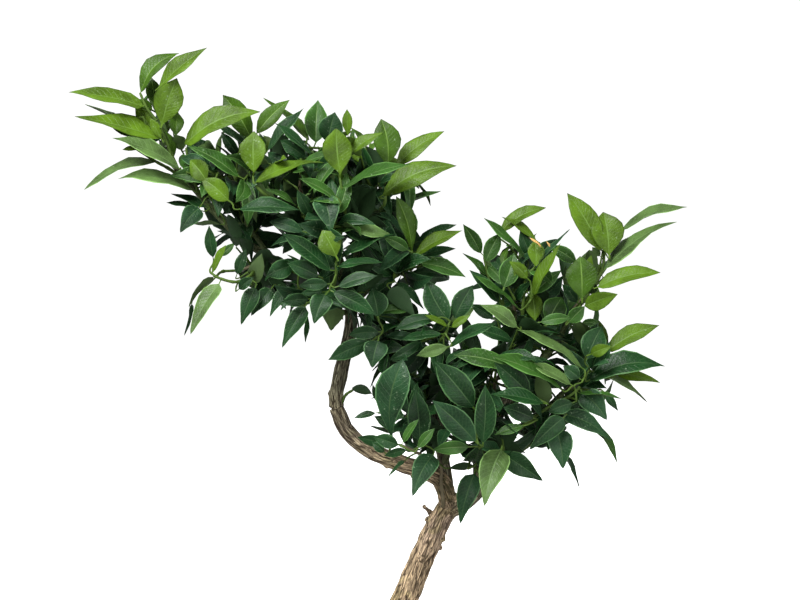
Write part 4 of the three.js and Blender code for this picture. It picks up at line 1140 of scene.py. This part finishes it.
class StageSettings(bpy.types.PropertyGroup):
    """The view and the light."""

    distance: FloatProperty(name="Distance", description="From camera to crown", default=1.3, unit="LENGTH")
    elevation: FloatProperty(name="Elevation", description="Of the camera", default=math.radians(4), subtype="ANGLE")
    lens: FloatProperty(name="Lens", description="Focal length in millimetres", default=90.0)
    key: FloatProperty(name="Key light", description="Power of the large soft light", default=54.0, subtype="POWER")
    fill: FloatProperty(name="Fill light", description="Power of the front light", default=12.0, subtype="POWER")
    rear: FloatProperty(name="Rear light", description="Power of the light behind", default=24.0, subtype="POWER")
    ambient: FloatProperty(name="Ambient", description="Light from all round", default=0.33)
    bounce: FloatProperty(name="Bounce", description="Light that the floor gives back", default=0.3)
    backdrop: FloatProperty(name="Backdrop", description="How white the floor looks", default=0.75)


class BONSAI_OT_leaves(bpy.types.Operator):
    """Grow the leaves, in one piece for each age."""

    bl_idname = "bonsai.leaves"
    bl_label = "Leaves"

    def execute(self, context):
        settings = context.scene.bonsai_leaves
        leaves, _ = grown_crown()
        faces, kinds, count = leaf_pattern()
        random = seeded(2028)
        tones = [tone_of(leaf, random) for leaf in leaves]
        for age in AGES:
            own = [tone for tone, its_age in TONE_AGES.items() if its_age == age]
            group = [(leaf, own.index(tone)) for leaf, tone in zip(leaves, tones) if tone in own]
            vertices, uv = leaf_vertices([leaf for leaf, _ in group])
            group_faces, group_kinds = [], []
            for i, (_, tone) in enumerate(group):
                group_faces += [[v + i * count for v in face] for face in faces]
                group_kinds += [tone if kind == BLADE else kind + len(own) - 1 for kind in kinds]
            colours = [tuple(getattr(settings, TONE_NAMES[tone])) for tone in own]
            materials = leaf_materials(f"leaf_{age}", colours, age == "young", settings)
            piece = mesh_piece(
                f"leaves_{age}", vertices.reshape(-1, 3), group_faces, materials, group_kinds, uv.reshape(-1, 2)
            )
            take(piece)
            bpy.ops.object.shade_smooth_by_angle(angle=math.radians(60))
            nodes = [
                "leaves_" + m["name"]
                for m in MASSES
                if (0 if m["young"] > 0.5 else 1 if m["young"] > 0.2 else 2) == AGES.index(age)
            ]
            declare(piece, f"leaf_{age}", *nodes)
        return {"FINISHED"}


def tube_mesh(path_points, radii, sides):
    """Rings of vertices round a line, closed at both ends, with faces that point outwards."""
    points = np.asarray(path_points, float)
    ways = unit(np.gradient(points, axis=0))
    across = [squared_off(ODD_WAY, ways[0])]
    for way in ways[1:]:
        across.append(squared_off(across[-1], way))
    across = np.array(across)
    other = np.cross(ways, across)
    angles = np.arange(sides) / sides * 2 * math.pi
    radii = np.asarray(radii, float)
    if radii.ndim == 1:
        radii = np.repeat(radii[:, None], sides, axis=1)
    rings = points[:, None] + radii[..., None] * (
        across[:, None] * np.cos(angles)[:, None] + other[:, None] * np.sin(angles)[:, None]
    )
    count = len(points)
    faces = [
        [i * sides + j, i * sides + (j + 1) % sides, (i + 1) * sides + (j + 1) % sides, (i + 1) * sides + j]
        for i in range(count - 1)
        for j in range(sides)
    ]
    faces.append(list(range(sides - 1, -1, -1)))
    faces.append([(count - 1) * sides + j for j in range(sides)])
    return rings.reshape(-1, 3), faces


class BONSAI_OT_twigs(bpy.types.Operator):
    """Grow the twigs that carry the leaves."""

    bl_idname = "bonsai.twigs"
    bl_label = "Twigs"

    def execute(self, context):
        _, twigs = grown_crown()
        vertices, faces, kinds, start = [], [], [], 0
        for twig in twigs:
            points = np.asarray(twig["points"])
            thick = twig["thick"]
            radii = np.linspace(thick, max(TWIG["tip_radius"], thick * 0.6), len(points))
            radii *= 1 + 0.12 * np.sin(np.arange(len(points)) * 2.4)
            ring_points, tube_faces = tube_mesh(points, radii, 6)
            vertices.append(ring_points)
            faces += [[v + start for v in face] for face in tube_faces]
            kinds += [1 if thick >= TWIG["stem_radius"] or "woody" in twig else 0] * len(tube_faces)
            start += len(ring_points)
        green = Shader("twig_green")
        tone = green.blend(green.noise(180.0), (0.03, 0.065, 0.01), (0.09, 0.15, 0.025))
        green = green.finish(base_color=tone, roughness=0.6, specular_ior_level=0.15)
        brown = Shader("twig_brown")
        tone = brown.blend(brown.noise(220.0), (0.06, 0.055, 0.025), (0.2, 0.16, 0.09))
        brown = brown.finish(base_color=tone, roughness=0.75)
        piece = mesh_piece("twigs", np.vstack(vertices), faces, [green, brown], kinds)
        take(piece)
        bpy.ops.object.shade_smooth_by_angle(angle=math.radians(60))
        declare(piece, "bark")
        return {"FINISHED"}


def limb_radii(name, path, radii, shares, angles):
    """The radius of a limb all round at shares of its length, with the trunk's flare."""
    radius = radii[0] + (radii[1] - radii[0]) * shares[:, None] * np.ones(len(angles))
    if name == "trunk":
        near = np.maximum(0, 1 - shares * path.length / FLARE["height"])[:, None] ** 2
        radius = radius * (1 + near * (FLARE["spread"] + FLARE["depth"] * np.cos(FLARE["roots"] * angles)))
    return radius


def bark_piece(name, names, voxel, settings):
    """Limbs joined in one skin, with ridges and furrows that run along each."""
    limbs = grown_limbs()
    vertices, faces, start = [], [], 0
    samples = []
    for limb in names:
        path, radii = limbs[limb]
        count = max(8, int(path.length / 2))
        shares = np.linspace(0, 1, count)
        places, ways, across, other = path.frames(shares)
        sides = 20
        angles = np.arange(sides) / sides * 2 * math.pi
        ring, tube = tube_mesh(places, limb_radii(limb, path, radii, shares, angles), sides)
        if limb == "trunk":
            ring[:sides, 2] = LIMBS["trunk"][0][0][2]
        vertices.append(ring)
        faces += [[v + start for v in face] for face in tube]
        start += len(ring)
        samples += [
            (places[i], ways[i], across[i], other[i], shares[i] * path.length,
             radii[0] + (radii[1] - radii[0]) * shares[i], limb)
            for i in range(count)
        ]
    for limb, at, direction, length, radius in STUBS:
        if limb not in names:
            continue
        path, radii = limbs[limb]
        root, way = path.at(at), path.along(at)
        out = unit(squared_off(np.array(direction, float), way) + 0.3 * way)
        reach = radii[0] + (radii[1] - radii[0]) * at + length
        line = root + out * np.linspace(0, reach, 5)[:, None]
        ring, tube = tube_mesh(line, radius * np.array([1.5, 1.4, 1.1, 0.95, 0.8]), 10)
        vertices.append(ring)
        faces += [[v + start for v in face] for face in tube]
        start += len(ring)
    piece = mesh_piece(name, np.vstack(vertices), faces, [])
    take(piece)
    remesh = piece.modifiers.new("skin", "REMESH")
    remesh.mode = "VOXEL"
    remesh.voxel_size = voxel
    bpy.ops.object.modifier_apply(modifier="skin")
    smooth = piece.modifiers.new("soft", "SMOOTH")
    smooth.factor, smooth.iterations = 0.5, 6
    bpy.ops.object.modifier_apply(modifier="soft")
    relief(piece, samples, settings)
    return piece


RIDGE = {"across": 2.2, "along": 16.0, "sway": 0.6, "finer": 2.1}  # size of the bark's ridges, mm


def relief(piece, samples, settings):
    """Moves the bark's vertices by the ridges of the limb they lie on, and keeps the pattern's place."""
    mesh = piece.data
    n = len(mesh.vertices)
    co = np.zeros(n * 3)
    mesh.vertices.foreach_get("co", co)
    co = co.reshape(-1, 3) / MM
    normals = np.zeros(n * 3)
    mesh.vertices.foreach_get("normal", normals)
    normals = normals.reshape(-1, 3)
    tree = kdtree.KDTree(len(samples))
    for i, sample in enumerate(samples):
        tree.insert(sample[0], i)
    tree.balance()
    nearest = np.array([tree.find(p)[1] for p in co])
    place, way, across, other = (np.array([s[k] for s in samples])[nearest] for k in range(4))
    run = np.array([s[4] for s in samples])[nearest]
    radius = np.array([s[5] for s in samples])[nearest]
    offset = co - place
    x, y = (offset * across).sum(1), (offset * other).sum(1)
    z = run + (offset * way).sum(1)
    limb_names = sorted({s[6] for s in samples})
    shift = np.array([limb_names.index(s[6]) * 37.0 for s in samples])[nearest]
    twisted = z * 0.012
    x, y = x * np.cos(twisted) - y * np.sin(twisted), x * np.sin(twisted) + y * np.cos(twisted)
    grain = np.stack([x / RIDGE["across"], y / RIDGE["across"], (z + shift) / RIDGE["along"]], axis=1)
    height = np.zeros(n)
    for i in range(n):
        p = Vector(grain[i])
        p += RIDGE["sway"] * noise.noise_vector(p * 0.8)
        grain[i] = p
        p = p * 0.6
        coarse, _ = noise.voronoi(p, distance_metric="DISTANCE", exponent=2.5)
        small, _ = noise.voronoi(p * RIDGE["finer"], distance_metric="DISTANCE", exponent=2.5)
        height[i] = 0.78 * min(1.0, (coarse[1] - coarse[0]) * 2.8) + 0.22 * min(1.0, (small[1] - small[0]) * 2.6)
    lumps = np.array([noise.noise(Vector(p * 0.16)) for p in co])
    fine = np.array([noise.noise(Vector((g[0] * 2.3, g[1] * 2.3, g[2] * 3.1))) for g in grain])
    depth = settings.depth / MM * np.clip(radius / 8, 0.25, 1)
    move = (height - 0.75) * depth + fine * 0.16 * depth + lumps * 0.08 * radius
    cut = np.clip((co[:, 2] - 57) / 3, 0, 1)
    co = co + normals * (move * cut)[:, None]
    mesh.vertices.foreach_set("co", (co * MM).ravel())
    for key, values in (("furrow", height), ("lump", lumps), ("thick", radius)):
        attribute = mesh.attributes.new(key, "FLOAT", "POINT")
        attribute.data.foreach_set("value", values.astype(np.float32))
    attribute = mesh.attributes.new("grain", "FLOAT_VECTOR", "POINT")
    attribute.data.foreach_set("vector", grain.astype(np.float32).ravel())
    mesh.update()
    mesh.polygons.foreach_set("use_smooth", np.ones(len(mesh.polygons), bool))


FORK = (0.042, -0.004, 0.189)  # the middle of the painted shade in the fork, in metres


def bark_material(name, settings):
    """Tan ridges, dark furrows, painted shade in the fork, and greener wood where the limb is thin."""
    s = Shader(name)
    furrow = s.node("ShaderNodeAttribute", {"attribute_name": "furrow"}, output="Fac")
    lump = s.node("ShaderNodeAttribute", {"attribute_name": "lump"}, output="Fac")
    thick = s.node("ShaderNodeAttribute", {"attribute_name": "thick"}, output="Fac")
    grain = s.node("ShaderNodeAttribute", {"attribute_name": "grain"}, output="Vector")
    streaks = s.noise(2.6, 5.0, 0.7, grain)
    ridge, old = tuple(settings.ridge), thick.ramp(4.9, 6.0)
    tone = s.blend(streaks.ramp(0.32, 0.6), shade(ridge, 0.6), shade(ridge, 1.25))
    pink = s.noise(34.0, 2.0).ramp(0.5, 0.65)
    tone = s.blend(pink * 0.6, tone, (0.62, 0.46, 0.37))
    yellow = (s.noise(30.0, 3.0) + lump * 0.4).ramp(0.55, 0.68)
    tone = s.blend(yellow * 0.5, tone, (0.5, 0.42, 0.17))
    olive = s.blend(streaks.ramp(0.34, 0.66), (0.08, 0.08, 0.045), (0.5, 0.47, 0.31))
    tone = s.blend(old, olive, tone)
    wobble = s.node("ShaderNodeTexNoise", None, {"Vector": grain, "Scale": 1.7, "Detail": 2.0}, "Color")
    wobble = s.node("ShaderNodeVectorMath", {"operation": "SCALE"}, {0: wobble, "Scale": 0.8})
    uneven = s.node("ShaderNodeVectorMath", {"operation": "ADD"}, {0: grain, 1: wobble})
    gaps = s.noise(1.1, 2.0, 0.5, grain).ramp(0.3, 0.55, 0.45, 1.0)
    cracks = s.cells(1.5, "DISTANCE_TO_EDGE", uneven).ramp(0.165, 0.05) * gaps
    fine = s.cells(3.0, "DISTANCE_TO_EDGE", uneven).ramp(0.16, 0.02)
    swirl = s.noise(0.85, 1.5, 0.45, uneven)
    lines = swirl.ramp(0.45, 0.485) * swirl.ramp(0.55, 0.515)
    tone = s.blend(fine * 0.15, tone, shade(tuple(settings.furrow), 3.0))
    tone = s.blend(lines * 0.85, tone, tuple(settings.furrow))
    tone = s.blend(cracks * 0.7, tone, tuple(settings.furrow))
    tone = s.blend(furrow.ramp(0.35, 0.12) * 0.3, tone, tuple(settings.furrow))
    # painted shade: the wood round the fork darkens in soft patches, where the boughs shade it
    from_fork = s.node("ShaderNodeVectorMath", {"operation": "DISTANCE"}, {0: s.coords, 1: FORK}, "Value")
    fork_shade = from_fork.ramp(0.017, 0.007) * s.noise(260.0, 3.0).ramp(0.36, 0.56)
    tone = s.blend(fork_shade * 0.75, tone, tuple(settings.fork_shade))
    young = thick.ramp(3.4, 2.2)
    tone = s.blend(young * 0.8, tone, tuple(settings.green))
    height = streaks * 0.5 - cracks * 0.7 - lines * 0.8 - fine * 0.25 + s.noise(700.0, 3.0) * 0.2
    return s.finish(base_color=tone, roughness=0.85, normal=s.bump(height, 0.9, 0.0012), specular_ior_level=0.25)


class BONSAI_OT_bark(bpy.types.Operator):
    """Cover the trunk, the boughs and the branches with bark."""

    bl_idname = "bonsai.bark"
    bl_label = "Bark"

    def execute(self, context):
        settings = context.scene.bonsai_bark
        coarse = 1.0
        boughs = list(LIMBS)
        branches = ["branch_" + row[0] for row in BRANCHES]
        piece = bark_piece("bark_trunk_and_boughs", boughs, settings.voxel * coarse, settings)
        piece.data.materials.append(bark_material("bark_old", settings))
        declare(piece, "bark", *boughs)
        piece = bark_piece("bark_branches", branches, settings.voxel * 1.35 * coarse, settings)
        piece.data.materials.append(bark_material("bark_thin", settings))
        declare(piece, "bark", *branches)
        return {"FINISHED"}


POT = {
    "length": 216, "width": 160, "height": 62, "rim_height": 9, "rim_depth": 4, "wall": 6, "floor": 7,
    "foot_length": 172, "foot_height": 5, "foot_inset": 4, "belly_out": 0.62, "belly_up": 0.45,
    "drain_radius": 6, "drain_offset": 46, "sides": 112,
}
SOIL_TOP, SOIL_EDGE = 55.7, 50.7


def turned_oval(name, profile):
    """A closed shape drawn up ring by ring from a circle, then narrowed to the pot's oval."""
    radius, height = profile[0]
    bpy.ops.object.select_all(action="DESELECT")
    bpy.ops.mesh.primitive_circle_add(
        vertices=POT["sides"], radius=radius * MM, location=(0, 0, height * MM), fill_type="NGON"
    )
    piece = bpy.context.active_object
    piece.name = piece.data.name = name
    bpy.ops.object.mode_set(mode="EDIT")
    bpy.ops.mesh.select_all(action="SELECT")
    for next_radius, next_height in profile[1:]:
        move = (0, 0, (next_height - height) * MM)
        bpy.ops.mesh.extrude_region_move(TRANSFORM_OT_translate={"value": move})
        k = next_radius / radius
        bpy.ops.transform.resize(value=(k, k, 1), center_override=(0, 0, next_height * MM))
        radius, height = next_radius, next_height
    bpy.ops.mesh.select_all(action="SELECT")
    bpy.ops.transform.resize(value=(1, POT["width"] / POT["length"], 1), center_override=(0, 0, 0))
    bpy.ops.mesh.normals_make_consistent(inside=False)
    bpy.ops.object.mode_set(mode="OBJECT")
    bpy.ops.object.transform_apply(location=True, rotation=True, scale=True)
    return piece


def pot_shape():
    """Radii and heights that the pot's profile and the soil share."""
    rim, foot = POT["length"] / 2, POT["foot_length"] / 2
    neck, base = rim - POT["rim_depth"], foot + POT["foot_inset"]
    belly = base + (neck - base) * POT["belly_out"]
    under = POT["height"] - POT["rim_height"]
    belly_height = POT["foot_height"] + (under - POT["foot_height"]) * POT["belly_up"]
    return rim, foot, neck, base, belly, under, belly_height


class BONSAI_OT_pot(bpy.types.Operator):
    """Turn the oval clay pot."""

    bl_idname = "bonsai.pot"
    bl_label = "Pot"

    def execute(self, context):
        rim, foot, neck, base, belly, under, belly_height = pot_shape()
        wall, top = POT["wall"], POT["height"]
        profile = [
            (foot - 9, 1.6), (foot - 7, 0), (foot, 0), (foot, POT["foot_height"]),
            (base, POT["foot_height"] + 1), ((base + belly) / 2 + 2.6, belly_height * 0.6),
            (belly, belly_height), ((belly + neck) / 2 + 0.8, (belly_height + under) / 2), (neck, under),
            (rim, under + 1), (rim, top - 1), (rim - 1, top), (neck - wall + 1, top),
            (neck - wall, top - 1), (neck - wall, under), (belly - wall, belly_height),
            (foot - wall, POT["floor"]),
        ]
        pot = turned_oval("pot_clay", profile)
        bevel = pot.modifiers.new("worn edges", "BEVEL")
        bevel.width, bevel.segments, bevel.limit_method, bevel.angle_limit = 0.9 * MM, 3, "ANGLE", math.radians(28)
        take(pot)
        bpy.ops.object.modifier_apply(modifier="worn edges")
        for side in (-1, 1):
            bpy.ops.object.select_all(action="DESELECT")
            bpy.ops.mesh.primitive_cylinder_add(
                vertices=40, radius=POT["drain_radius"] * MM, depth=30 * MM,
                location=(side * POT["drain_offset"] * MM, 0, 0),
            )
            drill = bpy.context.active_object
            hole = pot.modifiers.new("drain", "BOOLEAN")
            hole.object, hole.operation, hole.solver = drill, "DIFFERENCE", "EXACT"
            take(pot)
            bpy.ops.object.modifier_apply(modifier="drain")
            bpy.data.objects.remove(drill)
        bpy.ops.object.shade_smooth_by_angle(angle=math.radians(35))
        settings = context.scene.bonsai_pot
        s = Shader("clay")
        clay = tuple(settings.clay)
        tone = s.blend(s.noise(26.0, 4.0).ramp(0.3, 0.72), shade(clay, 0.75), shade(clay, 1.3))
        specks = s.cells(900.0).ramp(0.24, 0.1) * s.noise(200.0, 2.0).ramp(0.45, 0.6)
        tone = s.blend(specks * 0.5, tone, (0.3, 0.22, 0.15))
        lines = s.noise(1.0, 3.0, 0.6, s.stretched(s.coords, (14.0, 14.0, 520.0)))
        height = lines * 0.5 + s.noise(420.0, 3.0) * 0.5
        roughness = s.noise(40.0, 3.0).ramp(0.3, 0.7, 0.58, 0.78)
        pot.data.materials.append(
            s.finish(base_color=tone, roughness=roughness, normal=s.bump(height, 0.35, 0.0006))
        )
        declare(pot, "clay", "pot")
        return {"FINISHED"}


class BONSAI_OT_soil(bpy.types.Operator):
    """Fill the pot with soil and strew grains over it."""

    bl_idname = "bonsai.soil"
    bl_label = "Soil"

    def execute(self, context):
        rim, foot, neck, base, belly, under, belly_height = pot_shape()
        inside = POT["wall"] + 0.6
        share = (SOIL_EDGE - belly_height) / (under - belly_height)
        edge = belly + (neck - belly) * share - inside
        rings = [(edge - k * 4, self.level(edge - k * 4, edge, neck)) for k in range(1, int(edge / 4))]
        profile = [(foot - inside - 1, POT["floor"] + 0.3), (belly - inside, belly_height), (edge, SOIL_EDGE)]
        soil = turned_oval("soil_bed", profile + rings)
        take(soil)
        bpy.ops.object.mode_set(mode="EDIT")
        bpy.ops.mesh.select_all(action="SELECT")
        bpy.ops.mesh.quads_convert_to_tris()
        bpy.ops.object.mode_set(mode="OBJECT")
        for v in soil.data.vertices:
            if v.co.z > (SOIL_EDGE + 0.05) * MM:
                v.co.z += noise.fractal(v.co * 150, 1.0, 2.0, 4) * 0.5 * MM
        bpy.ops.object.shade_smooth()
        settings = context.scene.bonsai_pot
        colour = tuple(settings.soil)
        s = Shader("soil_earth")
        tone = s.blend(s.noise(260.0, 5.0, 0.7).ramp(0.35, 0.65), shade(colour, 0.5), shade(colour, 1.5))
        soil.data.materials.append(
            s.finish(base_color=tone, roughness=0.95, normal=s.bump(s.noise(700.0, 5.0, 0.7), 0.9, 0.001))
        )
        declare(soil, "soil", "soil")
        self.strew(settings.grains, edge, neck, colour)
        return {"FINISHED"}

    @staticmethod
    def level(radius, edge, neck):
        """The height of the soil at a radius of the oval."""
        slope, flat = neck * 0.7, neck * 0.35
        middle = SOIL_TOP - (SOIL_TOP - SOIL_EDGE) * 0.4
        return float(np.interp(radius, [flat, slope, edge], [SOIL_TOP, middle, SOIL_EDGE]))

    def strew(self, count, edge, neck, colour):
        """Small broken grains, each a cut-off lump half sunk in the soil."""
        random = seeded(77)
        bpy.ops.object.select_all(action="DESELECT")
        bpy.ops.mesh.primitive_ico_sphere_add(subdivisions=1, radius=1)
        lump = bpy.context.active_object
        shape = np.array([v.co for v in lump.data.vertices])
        pattern = [list(p.vertices) for p in lump.data.polygons]
        bpy.data.objects.remove(lump)
        vertices, faces, kinds = [], [], []
        trunk = np.array(LIMBS["trunk"][0][0][:2], float)
        for k in range(count):
            size = random(0.7, 1.9)
            radius = math.sqrt(random()) * (edge - 3.2)
            angle = random() * 2 * math.pi
            x, y = radius * math.cos(angle), radius * math.sin(angle) * POT["width"] / POT["length"]
            if math.hypot(x - trunk[0], y - trunk[1]) < 13:
                continue
            stretch = np.array([random(0.75, 1.25), random(0.75, 1.25), random(0.6, 0.9)])
            jitter = np.array([[random(0.75, 1.15)] for _ in shape])
            spin = random() * 2 * math.pi
            turn = np.array([[math.cos(spin), -math.sin(spin), 0], [math.sin(spin), math.cos(spin), 0], [0, 0, 1]])
            points = (shape * jitter * stretch * size) @ turn.T
            points += (x, y, self.level(radius, edge, neck) + size * 0.25)
            start = len(vertices) * len(shape)
            vertices.append(points)
            faces += [[v + start for v in face] for face in pattern]
            kinds += [int(random() * 3)] * len(pattern)
        materials = []
        for name, tint in (("dark", 0.6), ("brown", 1.4), ("tan", 3.0)):
            s = Shader(f"grain_{name}")
            tone = s.blend(s.noise(400.0, 3.0), shade(colour, tint * 0.7), shade(colour, tint * 1.2))
            materials.append(s.finish(base_color=tone, roughness=0.92, normal=s.bump(s.noise(900.0), 0.6, 0.0004)))
        piece = mesh_piece("soil_grains", np.vstack(vertices), faces, materials, kinds)
        declare(piece, "soil")


class BONSAI_OT_stage(bpy.types.Operator):
    """Set the floor, the light and the camera."""

    bl_idname = "bonsai.stage"
    bl_label = "Stage"

    def execute(self, context):
        settings = context.scene.bonsai_stage
        bpy.ops.object.select_all(action="DESELECT")
        bpy.ops.mesh.primitive_plane_add(size=30, location=(0, 0, 0))
        floor = bpy.context.active_object
        floor.name = "floor"
        s = Shader("floor_pale")
        seen = s.node("ShaderNodeLightPath")
        tone = s.blend(s.noise(2.0), (0.9, 0.9, 0.9), (0.93, 0.93, 0.93))
        tone = s.blend(seen, (settings.bounce,) * 3, tone)
        floor.data.materials.append(s.finish(
            base_color=tone, roughness=0.9, emission_color=s.blend(seen, (0.0, 0.0, 0.0), (1.0, 1.0, 1.0)),
            emission_strength=settings.backdrop,
        ))
        world = bpy.data.worlds.new("studio")
        context.scene.world = world
        world.use_nodes = True
        tree = world.node_tree
        strength = tree.nodes.new("ShaderNodeMix")
        strength.inputs[2].default_value, strength.inputs[3].default_value = settings.ambient, 1.1
        tree.links.new(tree.nodes.new("ShaderNodeLightPath").outputs["Is Camera Ray"], strength.inputs[0])
        background = tree.nodes["Background"]
        background.inputs["Color"].default_value = (1, 1, 1, 1)
        tree.links.new(strength.outputs[0], background.inputs["Strength"])
        aim = Vector((9.75, 0, 310.7)) * MM
        self.light("key", (-0.7, -0.9, 1.5), 0.9, settings.key, aim)
        self.light("fill", (0.9, -1.2, 0.5), 1.0, settings.fill, aim)
        self.light("rear", (0.5, 1.3, 1.3), 1.0, settings.rear, aim).visible_glossy = False
        tilt, distance = settings.elevation, settings.distance
        back = Vector((0, -math.cos(tilt), math.sin(tilt)))
        data = bpy.data.cameras.new("camera")
        data.lens, data.sensor_width = settings.lens, 36
        camera = bpy.data.objects.new("camera", data)
        camera.location = aim + back * distance
        camera.rotation_euler = (-back).to_track_quat("-Z", "Y").to_euler()
        context.scene.collection.objects.link(camera)
        context.scene.camera = camera
        context.scene.view_settings.view_transform = "Standard"
        return {"FINISHED"}

    @staticmethod
    def light(name, place, size, power, aim):
        """A large square light that faces the crown."""
        data = bpy.data.lights.new(name, "AREA")
        data.size, data.energy = size, power
        lamp = bpy.data.objects.new(name, data)
        lamp.location = Vector(place)
        lamp.rotation_euler = (aim - lamp.location).to_track_quat("-Z", "Y").to_euler()
        bpy.context.scene.collection.objects.link(lamp)
        return lamp


class BONSAI_PT_panel(bpy.types.Panel):
    """Lists the pieces and their settings."""

    bl_idname = "BONSAI_PT_panel"
    bl_label = "Myrtle-leaf orange bonsai"
    bl_space_type = "VIEW_3D"
    bl_region_type = "UI"
    bl_category = "Bonsai"

    def draw(self, context):
        for operator, group in STEPS:
            box = self.layout.box()
            box.operator(operator.bl_idname)
            settings = getattr(context.scene, group)
            for name in type(settings).__annotations__:
                box.prop(settings, name)


GROUPS = {
    "bonsai_leaves": LeafSettings,
    "bonsai_bark": BarkSettings,
    "bonsai_pot": PotSettings,
    "bonsai_stage": StageSettings,
}
STEPS = (
    (BONSAI_OT_pot, "bonsai_pot"),
    (BONSAI_OT_soil, "bonsai_pot"),
    (BONSAI_OT_bark, "bonsai_bark"),
    (BONSAI_OT_twigs, "bonsai_leaves"),
    (BONSAI_OT_leaves, "bonsai_leaves"),
    (BONSAI_OT_stage, "bonsai_stage"),
)
CLASSES = (*GROUPS.values(), *(operator for operator, _ in STEPS), BONSAI_PT_panel)


def register():
    """Registers the classes and their settings."""
    for cls in CLASSES:
        bpy.utils.register_class(cls)
    for name, group in GROUPS.items():
        setattr(bpy.types.Scene, name, PointerProperty(type=group))


def unregister():
    """Removes the settings and the classes."""
    for name in GROUPS:
        delattr(bpy.types.Scene, name)
    for cls in reversed(CLASSES):
        bpy.utils.unregister_class(cls)


def main():
    """Makes every piece in order."""
    register()
    for operator, _ in STEPS:
        family, name = operator.bl_idname.split(".")
        getattr(getattr(bpy.ops, family), name)()


if __name__ == "__main__":
    main()
